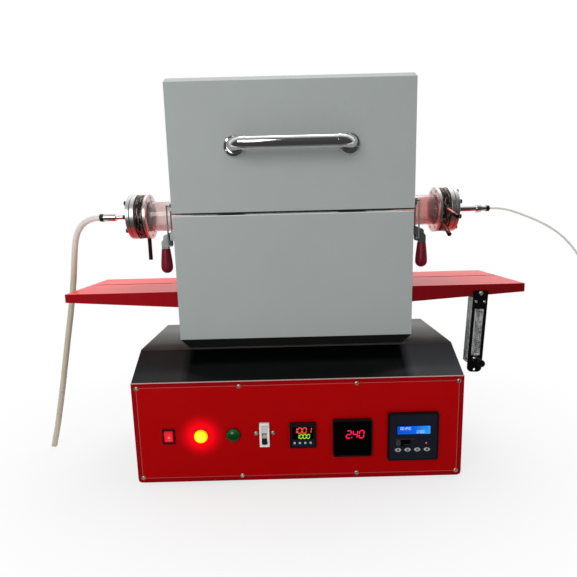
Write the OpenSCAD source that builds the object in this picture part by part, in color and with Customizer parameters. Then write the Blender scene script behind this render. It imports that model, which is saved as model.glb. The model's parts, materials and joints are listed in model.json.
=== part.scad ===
// Split tube furnace on a control cabinet, with water-cooled end flanges on its work tube.
// X runs along the work tube, the front faces -Y, and the origin is on the floor under the tube's middle.

/* [Cabinet] */
// Width of the cabinet
cab_w = 600; // [590:5:640]
// Depth of the cabinet
cab_d = 336; // [332:2:352]
// Height of the front panel
panel_h = 194; // [192:1:206]
// Thickness of the front panel
panel_t = 3; // [2:0.5:4]
// Radius of the front panel's lower corners
panel_r = 8; // [4:1:9]
// Sheet thickness of the hood and the chassis tray
sheet = 1.5; // [1:0.1:2]
// Rise of the hood above the front panel
hood_rise = 42; // [38:1:50]
// Depth of the hood's flat top
hood_flat = 196; // [194:2:206]
// Width of the lips that the front panel is screwed to
lip_w = 20; // [18:1:22]
// Distance of the panel screws from the panel's edge
screw_inset = 10; // [9:0.5:11]
// Distance of the middle panel screws from the middle
screw_mid_x = 106; // [100:1:112]
// Radius of a panel screw's shank
screw_r = 1.9; // [1.5:0.1:2.2]
// Radius of a panel screw's domed head
screw_head_r = 4.2; // [3.5:0.1:5]
// Height of the rubber feet
foot_h = 12; // [8:1:18]
// Radius of the rubber feet
foot_r = 15; // [12:1:18]
// Distance of the feet from the cabinet's edges
foot_inset = 40; // [34:1:50]
// Number of slots in each rear vent
vent_rows = 6; // [3:1:8]
// Length of a vent slot
vent_l = 90; // [60:5:110]
// Width of a vent slot
vent_w = 5; // [4.5:0.5:7]
// Radius of the mains cable entry
gland_bore = 5; // [3.5:0.5:6]
// How far the cable gland stands out at the back
gland_out = 14; // [11:1:20]
// Distance of the cable gland from the cabinet's right-hand side
gland_in = 70; // [60:1:90]
// Height of the lowest vent slots above the tray's floor
vent_up = 60; // [50:1:70]

/* [Controls] */
// Height of the row of lamps and switches above the panel's lower edge
row_z = 91; // [85:1:97]
// Gap between the cabinet's left-hand side and the power switch
gap_left = 51; // [46:0.5:56]
// Width of the power switch's frame
switch_w = 23; // [21:0.5:26]
// Height of the power switch's frame
switch_h = 29.5; // [27:0.5:34]
// Gap between the power switch and the red lamp
gap_switch = 33; // [28:0.5:38]
// Gap between the two lamps
gap_lamps = 30; // [25:0.5:35]
// Gap between the green lamp and the circuit breaker's screw
gap_green = 22.9; // [19:0.1:27]
// Radius of a lamp's collar
lamp_r = 14.5; // [13:0.5:16]
// Radius of a lamp's lens
lens_r = 12; // [10:0.5:12.5]
// How far a lens stands out from the panel
lens_out = 10; // [8:0.5:15]
// Distance of the circuit breaker's screws beside it
breaker_ear = 6.4; // [5.8:0.1:8]
// Gap between the circuit breaker's screw and the temperature controller
gap_breaker = 26.4; // [22:0.1:31]
// Width of the circuit breaker
breaker_w = 18; // [17:0.5:20]
// Height of the circuit breaker's front
breaker_h = 45; // [42:1:50]
// Side of the temperature controller's square bezel
small_w = 48; // [46:1:50]
// Gap between the temperature controller and the current meter
gap_small = 30.5; // [26:0.5:35]
// Side of the current meter's square bezel
middle_w = 72; // [68:1:76]
// Gap between the current meter and the program controller
gap_middle = 28.5; // [24:0.5:33]
// Side of the program controller's square bezel
large_w = 92; // [90:1:96]
// Gap between the program controller and the cabinet's right-hand side
gap_right = 45.5; // [41:0.5:50]
// Height of the middles of the two large instruments above the panel's lower edge
meters_z = 81.5; // [76:0.5:87]
// How far an instrument's bezel stands out from the panel
bezel_out = 7; // [6:0.5:9]
// Depth of an instrument's case behind the panel
case_d = 65; // [50:5:90]
// Spacing of the small keys
small_key_pitch = 9.7; // [9:0.1:10.4]
// Radius of a small key
small_key_r = 2; // [1.6:0.1:2.3]
// Spacing of the large keys
large_key_pitch = 17.6; // [16.5:0.1:19]
// Width of a large key
large_key_w = 12; // [10:0.5:13]
// Height of a large key
large_key_h = 7.5; // [6.5:0.5:9]
// How far a key stands out of its bezel
key_out = 1.2; // [1:0.1:1.6]
// Travel of a key
key_travel = 0.8; // [0.5:0.1:0.9]
// Gap round every key, rocker and toggle
key_gap = 0.3; // [0.2:0.05:0.4]

/* [Furnace body] */
// Length of the furnace body along the tube
body_l = 440; // [430:2:446]
// Depth of the furnace body
body_d = 216; // [212:1:222]
// Height of the tapered plinth
plinth_h = 20; // [14:1:26]
// How far the plinth's foot is set in
plinth_in = 14; // [11:0.5:16]
// Height of the lower shell
shell_h = 232; // [222:1:242]
// Gap between the lower shell and the lid
split_gap = 3; // [2:0.25:4]
// Height of the lid
lid_h = 234; // [220:1:250]
// How much the lid stands out over the lower shell at the front and back
lid_over = 2; // [1:0.5:3]
// How much the lid stands out over the lower shell at the ends
lid_over_x = 1; // [0.5:0.5:1.5]
// How far the lid's top edge is bevelled inwards
hip_in = 15; // [8:1:20]
// How far the lid's bevel reaches down
hip_drop = 25; // [15:1:35]
// Sheet thickness of the furnace shells
skin = 1.5; // [1:0.1:2]
// Width of the rim round the insulation at the split
rim_w = 20; // [14:1:24]
// Gap round the insulation blocks
block_gap = 0.3; // [0.2:0.05:0.4]
// Thickness of the insulation from the split outwards
block_h = 205; // [190:1:206]

/* [Work tube and heater] */
// Outer radius of the quartz work tube
tube_r = 30; // [28:0.5:30.5]
// Wall of the quartz work tube
tube_wall = 2.5; // [2:0.25:3.5]
// Running gap between the tube and the collars that carry it
tube_gap = 0.3; // [0.2:0.05:0.4]
// Radius of the heated chamber
chamber_r = 39; // [38.5:0.25:41]
// Length of the heated chamber
chamber_l = 360; // [330:5:380]
// Radius of a heater rod
rod_r = 2.5; // [2:0.1:2.8]
// Number of heater rods in each half
rods = 4; // [2:2:6]
// Angle between the outermost rods in each half
rod_sweep = 126; // [115:1:130]
// Radius of the thermocouple's sheath
probe_r = 2; // [1.5:0.1:2.5]
// Radius of the notch in each shell's end wall
notch_r = 33; // [31.5:0.5:34]

/* [End flanges] */
// Distance of the clamp rings' inner faces from the middle
stack_x = 290; // [284:1:300]
// Outer radius of the flanges
flange_r = 45; // [43.5:0.5:47]
// Outer radius of the ribbed cooling ring
cooler_r = 44; // [42.5:0.5:46]
// Depth of the grooves round the cooling ring
groove_d = 1.6; // [1:0.1:2]
// Width of the grooves round the cooling ring
groove_w = 1.2; // [0.8:0.1:1.4]
// Number of grooves round the cooling ring
grooves = 5; // [1:1:5]
// Thickness of the clamp ring
clamp_t = 5; // [4:0.5:7]
// Thickness of the cooling ring
cooler_t = 15; // [13:0.5:17]
// Thickness of the thick rubber seal
seal_t = 3; // [2:0.5:4]
// Thickness of the end flange
end_t = 8; // [6:0.5:10]
// Thickness of the thin rubber seal
seal_thin = 1.5; // [1:0.25:2]
// Thickness of the end cap
cap_t = 7; // [6:0.5:9]
// Radius of the ring that the flange bolts stand on
bolt_ring_r = 38; // [37.5:0.25:38.5]
// Number of flange bolts
bolts = 8; // [4:1:8]
// Radius of a flange bolt's shank
bolt_r = 2.5; // [2:0.25:2.5]
// Radius of a flange bolt's socket head
bolt_head_r = 4.3; // [3.8:0.1:4.6]
// Height of a flange bolt's head
bolt_head_h = 5; // [4:0.5:6]
// Radius of the water tubes
water_r = 4; // [3:0.25:4.5]
// Wall of the water tubes
water_wall = 1; // [0.6:0.1:1.4]
// Length of the water tube that hangs down on the left
water_down = 46; // [36:1:52]
// Length of the other water tubes
water_out = 30; // [22:1:32]
// Radius of the gas bores
gas_bore_r = 1.3; // [1:0.1:1.6]

/* [Handle] */
// Distance between the handle's two legs
handle_l = 205; // [180:5:230]
// Radius of the handle's bar
handle_r = 11; // [9:0.5:12]
// Distance of the bar's axis from the lid
handle_out = 38; // [36:1:44]
// Height of the handle above the split
handle_up = 118; // [100:2:140]
// Bend radius of the handle's elbows
elbow_r = 20; // [18:1:22]
// Length of the collars where the bar goes into its elbows
collar_l = 5; // [3:0.5:8]
// How far the collars stand out round the bar
collar_out = 0.6; // [0.4:0.1:1]
// Radius of the handle's rosettes
rosette_r = 19; // [17.5:0.5:22]
// Thickness of the handle's rosettes
rosette_t = 6; // [4:0.5:8]

/* [Lid hinges] */
// Distance of the hinges from the middle
hinge_x = 140; // [120:5:160]
// Length of one hinge
hinge_l = 60; // [48:2:72]
// Distance of the hinge pin behind the lower shell
hinge_back = 10; // [9.5:0.5:12]
// Radius of the hinge pin
hinge_pin_r = 3; // [2.5:0.25:3.5]
// Outer radius of the hinge knuckles
knuckle_r = 6; // [5.5:0.25:6.5]
// Radial running clearance of every pin
run = 0.05; // [0.03:0.01:0.08]
// Gap between knuckles
knuckle_gap = 0.4; // [0.3:0.1:0.6]

/* [Latches] */
// Distance of the latches in front of the tube axis
latch_y = 88; // [86:0.5:90]
// Height of the lever's pivot below the split
latch_down = 40; // [38:1:44]
// Distance of the lever's pivot from the lower shell
latch_out = 16; // [15:0.5:18]
// Distance of the loop's trunnions below the lever's pivot
loop_down = 12; // [11:0.5:13]
// Distance of the loop's trunnions nearer the shell than the lever's pivot
loop_in = 4.5; // [4.3:0.1:5]
// Radius of the loop's wire
wire_r = 1.5; // [1.2:0.1:1.7]
// Radius of the lever's pivot rivet
rivet_r = 2.5; // [2:0.1:2.6]
// Distance of the grip's axis from the lower shell
grip_out = 21; // [20:0.5:23]
// Radius of the grip's fat end
grip_r = 11; // [9:0.5:12]
// Length of the grip
grip_l = 46; // [40:1:50]
// Distance of the grip's top below the pivot
grip_down = 21; // [20:0.5:24]
// How far the loop's bar lies outside the catch's lip
loop_clear = 0.5; // [0.4:0.1:0.8]

/* [Side shelves] */
// Distance of the shelves' ends from the middle
shelf_x = 434; // [430:2:450]
// Depth of the shelves
shelf_d = 204; // [198:1:212]
// Height of the shelves' tops above the hood
shelf_up = 112; // [104:1:120]
// Sheet thickness of the shelves
shelf_t = 2; // [1.5:0.1:2.5]
// Depth of the shelf's lip at the furnace
lip_root = 30; // [26:1:34]
// Depth of the shelf's lip at its end
lip_tip = 16; // [12:1:18]
// Distance of the slot's inner end from the shelf's root
slot_in = 41; // [36:1:46]
// Length of the slot
slot_l = 150; // [120:2:156]
// Width of the slot
slot_w = 4.5; // [4:0.1:6]
// Distance of the slot behind the tube axis
slot_y = 14; // [0:1:20]

/* [Flow meter] */
// Distance of the flow meter's screw beside the cabinet
meter_aside = 51; // [46:1:58]
// Distance of the flow meter's screw below the shelf's top
meter_down = 17; // [15:0.5:19]
// Width of the meter's plate
meter_w = 28; // [26:1:31]
// Height of the meter's plate
meter_h = 160; // [150:1:165]
// Radius of the meter plate's lower corners
meter_r = 9; // [4:1:11]
// Thickness of the meter's plate
meter_t = 2; // [1.5:0.1:3]
// Lean of the meter off the plumb line, in degrees
meter_lean = 2.5; // [0:0.5:4]
// Width of the meter's clear body
block_w = 24; // [22:0.5:25]
// Depth of the meter's clear body
block_d = 26; // [20:0.5:28]
// Height of the meter's clear body
meter_body_h = 130; // [120:1:132]
// Width of the window in the meter's plate
window_w = 17; // [14:0.5:18]
// Height of the window in the meter's plate
window_h = 92; // [84:1:96]
// Radius of the float
float_r = 3; // [2.5:0.1:3.2]
// Travel of the float
float_travel = 78; // [60:1:80]
// Radius of the valve knob
knob_r = 7; // [6:0.25:8]
// Length of the valve knob
knob_l = 20; // [16:0.5:24]
// Length of the valve's neck between the plate and the knob
neck_l = 9; // [7:0.5:12]

/* [Hidden] */
$fn = 48;
left = -1;
right = 1;
front = -cab_d / 2;
back = cab_d / 2;
panel_z0 = foot_h;
panel_z1 = foot_h + panel_h;
hood_z = panel_z1 + hood_rise;
slope_run = (cab_d - hood_flat) / 2 - panel_t;
slope_rear = (cab_d - hood_flat) / 2;
shell_z0 = hood_z + plinth_h;
shell_z1 = shell_z0 + shell_h;
tube_z = shell_z1 + split_gap / 2;
lid_z0 = shell_z1 + split_gap;
lid_z1 = lid_z0 + lid_h;
lid_l = body_l + 2 * lid_over_x;
lid_d = body_d + 2 * lid_over;
row_height = panel_z0 + row_z;
small_z = row_height - 2;
meter_height = panel_z0 + meters_z;
cut_gap = 0.3;
seat = 0.3;

// The sum of the first n values of a list
function total(list, n) = n < 1 ? 0 : list[n - 1] + total(list, n - 1);

// The row of controls: the gaps between them share out what their widths leave of the panel
breaker_half = breaker_w / 2 + breaker_ear + screw_head_r;
row_halves = [switch_w / 2, lamp_r, lamp_r, breaker_half, small_w / 2, middle_w / 2, large_w / 2];
row_gaps = [gap_left, gap_switch, gap_lamps, gap_green, gap_breaker, gap_small, gap_middle, gap_right];
row_spread = (cab_w - 2 * total(row_halves, len(row_halves))) / total(row_gaps, len(row_gaps));
function row_x(i) =
    -cab_w / 2 + row_spread * total(row_gaps, i + 1) + 2 * total(row_halves, i) + row_halves[i];
switch_x = row_x(0);
red_x = row_x(1);
green_x = row_x(2);
breaker_x = row_x(3);
small_x = row_x(4);
middle_x = row_x(5);
large_x = row_x(6);

// A block given by its lowest corner and its highest corner
module block(a, b) {
    translate(a) cube(b - a);
}

// A rod along X from x0 to x1
module rod_x(x0, x1, r, y, z) {
    translate([min(x0, x1), y, z]) rotate([0, 90, 0]) cylinder(r = r, h = abs(x1 - x0));
}

// A rod along Y from y0 to y1
module rod_y(y0, y1, r, x, z) {
    translate([x, max(y0, y1), z]) rotate([90, 0, 0]) cylinder(r = r, h = abs(y1 - y0));
}

// A rod along Z from z0 to z1
module rod_z(z0, z1, r, x, y) {
    translate([x, y, min(z0, z1)]) cylinder(r = r, h = abs(z1 - z0));
}

// A flat outline in X and Z pulled along Y from y0 to y1
module pull_y(y0, y1) {
    translate([0, y1, 0]) rotate([90, 0, 0]) linear_extrude(height = y1 - y0) children();
}

// A flat outline in Y and Z pulled along X from x0 to x1
module pull_x(x0, x1) {
    translate([x0, 0, 0]) rotate([90, 0, 90]) linear_extrude(height = x1 - x0) children();
}

// A rectangle with round corners about the origin
module round_rect(w, h, r) {
    square([w - 2 * r, h], center = true);
    square([w, h - 2 * r], center = true);
    for (x = [-1, 1], z = [-1, 1]) translate([x * (w / 2 - r), z * (h / 2 - r)]) circle(r);
}

// The same thing on the left and on the right
module both_sides() {
    for (s = [left, right]) mirror([s == left ? 1 : 0, 0, 0]) children();
}

// Which side a piece that is drawn on the right goes to
module on_side(s) {
    mirror([s == left ? 1 : 0, 0, 0]) children();
}

/* Cabinet */

lip_y = front + panel_t;
screw_places = [
    for (x = [cab_w / 2 - screw_inset, screw_mid_x], side = [-1, 1],
         z = [panel_z0 + screw_inset, panel_z1 - screw_inset]) [side * x, z]
];
breaker_screws = [for (x = [-1, 1]) [breaker_x + x * (breaker_w / 2 + breaker_ear), row_height + 2]];

module hood_profile(inset) {
    rise = inset / cos(atan2(hood_rise, slope_run));
    crease = inset * tan(atan2(hood_rise, slope_run) / 2);
    foot = panel_z0 + (inset > 0 ? -1 : 0);
    y0 = lip_y - (inset > 0 ? 1 : 0);
    y1 = back + (inset > 0 ? 1 : 0);
    over = hood_rise / slope_run;
    polygon([
        [y0, foot],
        [y0, panel_z1 - rise - (inset > 0 ? over : 0)],
        [-hood_flat / 2 + crease, hood_z - inset],
        [hood_flat / 2 - crease, hood_z - inset],
        [y1, panel_z1 - rise - (inset > 0 ? hood_rise / slope_rear : 0)],
        [y1, foot]
    ]);
}

module hood() color("black") {
    difference() {
        union() {
            difference() {
                pull_x(-cab_w / 2, cab_w / 2) hood_profile(0);
                pull_x(-cab_w / 2 + sheet, cab_w / 2 - sheet) hood_profile(sheet);
            }
            // Lips that the front panel is screwed to
            block([-cab_w / 2, lip_y, panel_z1 - lip_w], [cab_w / 2, lip_y + sheet, panel_z1 - sheet]);
            for (x = [-cab_w / 2, cab_w / 2 - lip_w])
                block([x, lip_y, panel_z0], [x + lip_w, lip_y + sheet, panel_z1 - sheet]);
        }
        for (p = screw_places) rod_y(lip_y - 1, lip_y + sheet + 1, screw_r + 0.1, p.x, p.y);
        // Corner reliefs that leave room for the tray's front lip
        block([-cab_w / 2 + lip_w + seat, lip_y - 1, panel_z0 - 1],
              [cab_w / 2 - lip_w - seat, lip_y + sheet + 1, panel_z0 + lip_w + 1]);
    }
}

module chassis_tray() color("dimgray") {
    w = cab_w / 2 - sheet - seat;
    lip = cab_w / 2 - lip_w - 2 * seat;
    wall_z = panel_z1 - sheet / cos(atan2(hood_rise, slope_rear)) - seat;
    vent_z = panel_z0 + vent_up;
    difference() {
        union() {
            block([-w, lip_y + sheet + seat, panel_z0], [w, back, panel_z0 + sheet]);
            block([-lip, lip_y, panel_z0], [lip, back, panel_z0 + sheet]);
            block([-lip, lip_y, panel_z0], [lip, lip_y + sheet, panel_z0 + lip_w]);
            block([-w, back - sheet, panel_z0], [w, back, wall_z - (hood_rise / slope_rear) * seat]);
        }
        for (p = screw_places) rod_y(lip_y - 1, lip_y + sheet + 1, screw_r + 0.1, p.x, p.y);
        for (x = [-1, 1], i = [0 : vent_rows - 1])
            pull_y(back - sheet - 1, back + 1)
                translate([x * cab_w / 4, vent_z + i * (vent_w + 7)]) key_outline(vent_l, vent_w);
        rod_y(back - sheet - 1, back + 1, gland_bore + 3.3, gland_x, gland_z);
    }
}

gland_x = cab_w / 2 - gland_in;
gland_z = panel_z0 + 40;

// Screwed cable entry with its hexagon nuts outside and inside the rear wall
module cable_gland() color("black") {
    outer = gland_bore + 3;
    nut_t = 4;
    difference() {
        union() {
            rod_y(back - sheet - 8, back + gland_out - 2, outer, gland_x, gland_z);
            rod_y(back + gland_out - 3, back + gland_out, outer - 1.2, gland_x, gland_z);
            for (y = [back + nut_t, back - sheet])
                translate([gland_x, y, gland_z]) rotate([90, 0, 0])
                    cylinder(r = outer + 3, h = nut_t, $fn = 6);
        }
        rod_y(back - sheet - 9, back + gland_out + 1, gland_bore, gland_x, gland_z);
    }
}

module rubber_feet() color("black") {
    foot = [[0, 0], [foot_r - 2, 0], [foot_r - 1, 1], [foot_r, foot_h], [0, foot_h]];
    for (x = [-1, 1], y = [-1, 1])
        translate([x * (cab_w / 2 - foot_inset), y * (cab_d / 2 - foot_inset), 0])
            rotate_extrude() polygon(foot);
}

module front_panel() color("firebrick") {
    difference() {
        pull_y(front, lip_y) difference() {
            union() {
                translate([-cab_w / 2, panel_z0 + panel_r]) square([cab_w, panel_h - panel_r]);
                translate([-cab_w / 2 + panel_r, panel_z0]) square([cab_w - 2 * panel_r, panel_r]);
                for (x = [-1, 1]) translate([x * (cab_w / 2 - panel_r), panel_z0 + panel_r]) circle(panel_r);
            }
            for (p = screw_places) translate(p) circle(screw_r + 0.1);
            for (p = breaker_screws) translate(p) circle(screw_r + 0.1);
            translate([switch_x, row_height]) square([switch_w - 3, switch_h - 3], center = true);
            for (x = [red_x, green_x]) translate([x, row_height]) circle(lens_r - 1 + cut_gap);
            translate([breaker_x, row_height])
                square([breaker_w, breaker_h] + [1, 1] * 2 * cut_gap, center = true);
            translate([small_x, small_z]) square(small_w - 3 + 2 * cut_gap, center = true);
            for (m = [[middle_x, middle_w], [large_x, large_w]])
                translate([m.x, meter_height]) square(m.y - 4 + 2 * cut_gap, center = true);
        }
    }
}

// One domed screw whose head seats on the plane y = face and whose shank runs inwards
module domed_screw(x, z, face, grip) {
    translate([x, face, z]) rotate([90, 0, 0]) rotate_extrude()
        polygon([[0, -grip], [screw_r, -grip], [screw_r, 0], [screw_head_r, 0], [screw_head_r, 0.4],
                 [screw_head_r * 0.85, 1.4], [screw_head_r * 0.5, 2.2], [0, 2.5]]);
}

module panel_screws() color("silver") {
    for (p = screw_places) domed_screw(p.x, p.y, front, panel_t + 5);
    for (p = breaker_screws) domed_screw(p.x, p.y, front, panel_t + 5);
    hung_meter() {
        domed_screw(0, 0, meter_face, meter_t + shelf_t + 3);
        for (x = [-1, 1]) domed_screw(x * 8, body_screw_z, meter_face, meter_t + 4);
    }
}

/* Controls */

rocker_r = switch_h / 2 - 3.6;
rocker_y = front + 3;
rocker_tilt = 8;
frame_wall = 3.5;

module switch_frame() color("black") {
    flange = 1.5 + cut_gap;
    inside = switch_w / 2 - frame_wall;
    difference() {
        union() {
            block([switch_x - switch_w / 2, front - 2, row_height - switch_h / 2],
                  [switch_x + switch_w / 2, front, row_height + switch_h / 2]);
            block([switch_x - switch_w / 2 + flange, front, row_height - switch_h / 2 + flange],
                  [switch_x + switch_w / 2 - flange, front + 22, row_height + switch_h / 2 - flange]);
        }
        block([switch_x - inside, front - 3, row_height - rocker_r - key_gap],
              [switch_x + inside, rocker_y + rocker_r + 2, row_height + rocker_r + key_gap]);
    }
}

// The rocker turns on its own pins inside the frame, and its face is a shallow V
module switch_rocker() color("red") {
    half = switch_w / 2 - frame_wall - key_gap;
    face = 6.4;
    difference() {
        rod_x(switch_x - half, switch_x + half, rocker_r, rocker_y, row_height);
        translate([0, rocker_y, row_height]) for (a = [0, 2 * rocker_tilt]) rotate([a, 0, 0])
            block([switch_x - 20, -30, a == 0 ? -30 : 0], [switch_x + 20, -face, a == 0 ? 0 : 30]);
        translate([0, rocker_y, row_height]) rotate([2 * rocker_tilt, 0, 0])
            block([switch_x - 20, -30, -4], [switch_x + 20, -face - 0.9, 30]);
    }
}

lens_foot = 2;

// Collar, barrel and domed lens of a pilot lamp
module pilot_lamp(x, tint) {
    color("dimgray") difference() {
        union() {
            rod_y(front - 3, front, lamp_r, x, row_height);
            rod_y(front, front + 28, lens_r - 1, x, row_height);
        }
        rod_y(front - 4, front - 1, lens_r + 0.2, x, row_height);
    }
    color(tint) translate([x, front - 1, row_height]) rotate([90, 0, 0]) rotate_extrude()
        polygon([[0, 0], [lens_r, 0],
            for (a = [0 : 9 : 90]) [lens_r * cos(a), lens_foot + (lens_out - 1 - lens_foot) * sin(a)]]);
}

module red_lamp() pilot_lamp(red_x, "orangered");

module green_lamp() pilot_lamp(green_x, "darkgreen");

toggle_y = front + 2;
toggle_z = row_height - 6;
toggle_w = 9;
toggle_r = 6;
toggle_rest = 35;
breaker_out = 6;

module breaker_body() color("white") {
    difference() {
        block([breaker_x - breaker_w / 2, front - breaker_out, row_height - breaker_h / 2],
              [breaker_x + breaker_w / 2, front + 45, row_height + breaker_h / 2]);
        // Pocket of the toggle
        block([breaker_x - toggle_w / 2 - key_gap, front - breaker_out - 1, toggle_z - toggle_r - 4.5],
              [breaker_x + toggle_w / 2 + key_gap, toggle_y + toggle_r + 1, toggle_z + toggle_r + 4.5]);
        // Step beside the toggle's pocket
        block([breaker_x - breaker_w / 2 - 1, front - breaker_out - 1, row_height + 17],
              [breaker_x + breaker_w / 2 + 1, front - breaker_out + 2, row_height + breaker_h / 2 + 1]);
    }
}

module breaker_toggle() color("black") {
    rod_x(breaker_x - toggle_w / 2, breaker_x + toggle_w / 2, toggle_r, toggle_y, toggle_z);
    translate([0, toggle_y, toggle_z]) rotate([toggle_rest, 0, 0])
        block([breaker_x - toggle_w / 2, -15, -2], [breaker_x + toggle_w / 2, 0, 2]);
}

// Square instrument: bezel with round corners in front of the panel, case behind it, a sunk facia
module instrument(x, z, w, r, sunk) {
    difference() {
        union() {
            pull_y(front - bezel_out, front) translate([x, z]) round_rect(w, w, r);
            block([x - w / 2 + 2, front, z - w / 2 + 2], [x + w / 2 - 2, front + case_d, z + w / 2 - 2]);
        }
        pull_y(front - bezel_out - 1, front - bezel_out + sunk)
            translate([x, z]) square(w - 6, center = true);
        children();
    }
}

small_key_z = small_z - 13.5;
large_key_z = meter_height - 24.5;
large_keys_x = large_x - 1.5;
key_floor = 3;
facia_sink = 0.8;
facia_y = front - bezel_out + facia_sink;
key_back = facia_y + key_floor - key_travel - 0.2;

function small_key_x(i) = small_x - 0.8 + (i - 2.5) * small_key_pitch;
function large_key_x(i) = large_keys_x + (i - 2.5) * large_key_pitch;

module key_outline(w, h) {
    square([w - h, h], center = true);
    for (x = [-1, 1]) translate([x * (w - h) / 2, 0]) circle(h / 2);
}

module temperature_controller() color("black") {
    instrument(small_x, small_z, small_w, 2, facia_sink)
        for (i = [1 : 4])
            rod_y(facia_y - 2, facia_y + key_floor, small_key_r + key_gap, small_key_x(i), small_key_z);
}

module temperature_key(i) color("white") {
    rod_y(facia_y - key_out, key_back, small_key_r, small_key_x(i), small_key_z);
}

module current_meter() color("black") {
    instrument(middle_x, meter_height, middle_w, 4, facia_sink);
}

module program_controller() color("darkslategray") {
    instrument(large_x, meter_height, large_w, 3, facia_sink)
        for (i = [1 : 4])
            pull_y(facia_y - 2, facia_y + key_floor) translate([large_key_x(i), large_key_z])
                key_outline(large_key_w + 2 * key_gap, large_key_h + 2 * key_gap);
}

module program_key(i) color("lightgray") {
    pull_y(facia_y - key_out, key_back)
        translate([large_key_x(i), large_key_z]) key_outline(large_key_w, large_key_h);
}

/* Furnace body */

half_l = body_l / 2;
half_d = body_d / 2;
inner_l = half_l - skin;
inner_d = half_d - skin;
rim_l = half_l - rim_w;
rim_d = half_d - rim_w;

// A block that widens upwards from the hood's top to the furnace, drawn in by the inset at its sides
module flared_block(inset, z0, z1) {
    slant = plinth_in / plinth_h;
    bottom = plinth_in - (z0 - hood_z) * slant + inset;
    top = plinth_in - (z1 - hood_z) * slant + inset;
    intersection() {
        pull_x(-half_l, half_l) polygon([
            [-half_d + bottom, z0], [half_d - bottom, z0], [half_d - top, z1], [-half_d + top, z1]]);
        pull_y(-half_d, half_d) polygon([
            [-half_l + bottom, z0], [half_l - bottom, z0], [half_l - top, z1], [-half_l + top, z1]]);
    }
}

// Folded sheet, open at the bottom, with a hole for the leads of the probe
module furnace_plinth() color("darkgray") {
    difference() {
        flared_block(0, hood_z, shell_z0);
        flared_block(skin * 1.2, hood_z - 1, shell_z0 - skin);
        rod_z(hood_z, shell_z0 + 1, probe_r + 2, 0, 0);
    }
}

module lower_shell() color("lightgray") {
    difference() {
        block([-half_l, -half_d, shell_z0], [half_l, half_d, shell_z1]);
        block([-inner_l, -inner_d, shell_z0 + skin], [inner_l, inner_d, shell_z1 - skin]);
        block([-rim_l, -rim_d, shell_z0 + skin], [rim_l, rim_d, shell_z1 + 1]);
        rod_x(-half_l - 1, half_l + 1, notch_r, 0, tube_z);
        rod_z(shell_z0 - 1, shell_z0 + skin + 1, probe_r + 2, 0, 0);
    }
}

// Collar bore, chamber and rod seats that both insulation blocks share
module chamber_cut() {
    rod_x(-half_l - 2, half_l + 2, tube_r + tube_gap, 0, tube_z);
    rod_x(-chamber_l / 2, chamber_l / 2, chamber_r, 0, tube_z);
}

module lower_insulation() color("ivory") {
    difference() {
        union() {
            block([-inner_l + block_gap, -inner_d + block_gap, shell_z0 + skin],
                  [inner_l - block_gap, inner_d - block_gap, shell_z1 - skin - block_gap]);
            block([-rim_l + block_gap, -rim_d + block_gap, shell_z0 + skin],
                  [rim_l - block_gap, rim_d - block_gap, shell_z1]);
            end_plug(shell_z1 - skin - 2, shell_z1);
        }
        chamber_cut();
        rod_z(shell_z0, tube_z, probe_r + 0.2, 0, 0);
        rod_z(shell_z0, shell_z0 + probe_head_h + skin + 1, probe_head_r + 1, 0, 0);
    }
}

// Short collars that pass the notches of the end walls and stop flush with them
module end_plug(z0, z1) {
    intersection() {
        rod_x(-half_l, half_l, notch_r - block_gap, 0, tube_z);
        block([-half_l, -notch_r, min(z0, z1) - notch_r], [half_l, notch_r, max(z0, z1)]);
    }
}

module upper_insulation() color("ivory") {
    top = lid_z0 + block_h;
    x1 = lid_l / 2 - skin - block_gap;
    y1 = lid_d / 2 - skin - block_gap;
    difference() {
        union() {
            block([-x1, -y1, lid_z0 + skin + block_gap], [x1, y1, top]);
            block([-rim_l + block_gap, -rim_d + block_gap, lid_z0],
                  [rim_l - block_gap, rim_d - block_gap, top]);
            intersection() {
                rod_x(-half_l, half_l, notch_r - block_gap, 0, tube_z);
                block([-half_l, -notch_r, lid_z0], [half_l, notch_r, lid_z0 + notch_r]);
            }
        }
        chamber_cut();
    }
}

bead_r = rod_r * 1.2;
rod_ring_r = chamber_r - bead_r - seat;

// Straight rods along the chamber, joined end to end by bends with a bead at each corner
module heater(middle) color("saddlebrown") {
    reach = chamber_l / 2 - 2 * rod_r;
    step = rod_sweep / (rods - 1);
    first = middle - rod_sweep / 2;
    translate([0, 0, tube_z]) for (i = [0 : rods - 1]) {
        a = first + i * step;
        rod_x(-reach, reach, rod_r, rod_ring_r * cos(a), rod_ring_r * sin(a));
        for (x = [-reach, reach]) translate([x, rod_ring_r * cos(a), rod_ring_r * sin(a)]) sphere(bead_r);
        if (i < rods - 1)
            translate([i % 2 == 0 ? reach : -reach, 0, 0]) rotate([90, 0, 90]) rotate([0, 0, a])
                rotate_extrude(angle = step) translate([rod_ring_r, 0]) circle(rod_r);
    }
}

module lower_heater() heater(-90);

module upper_heater() heater(90);

probe_head_r = 9;
probe_head_h = 16;

// Sheathed temperature probe that ends just under the work tube
module thermocouple() color("silver") {
    rod_z(shell_z0 + skin, shell_z0 + skin + probe_head_h, probe_head_r, 0, 0);
    rod_z(shell_z0 + skin, tube_z - tube_r - 2, probe_r, 0, 0);
}

tube_end = stack_x + clamp_t + cooler_t - 0.3;

module quartz_tube() color("lightcyan") {
    difference() {
        rod_x(-tube_end, tube_end, tube_r, 0, tube_z);
        rod_x(-tube_end - 1, tube_end + 1, tube_r - tube_wall, 0, tube_z);
    }
}

/* Lid */

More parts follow.
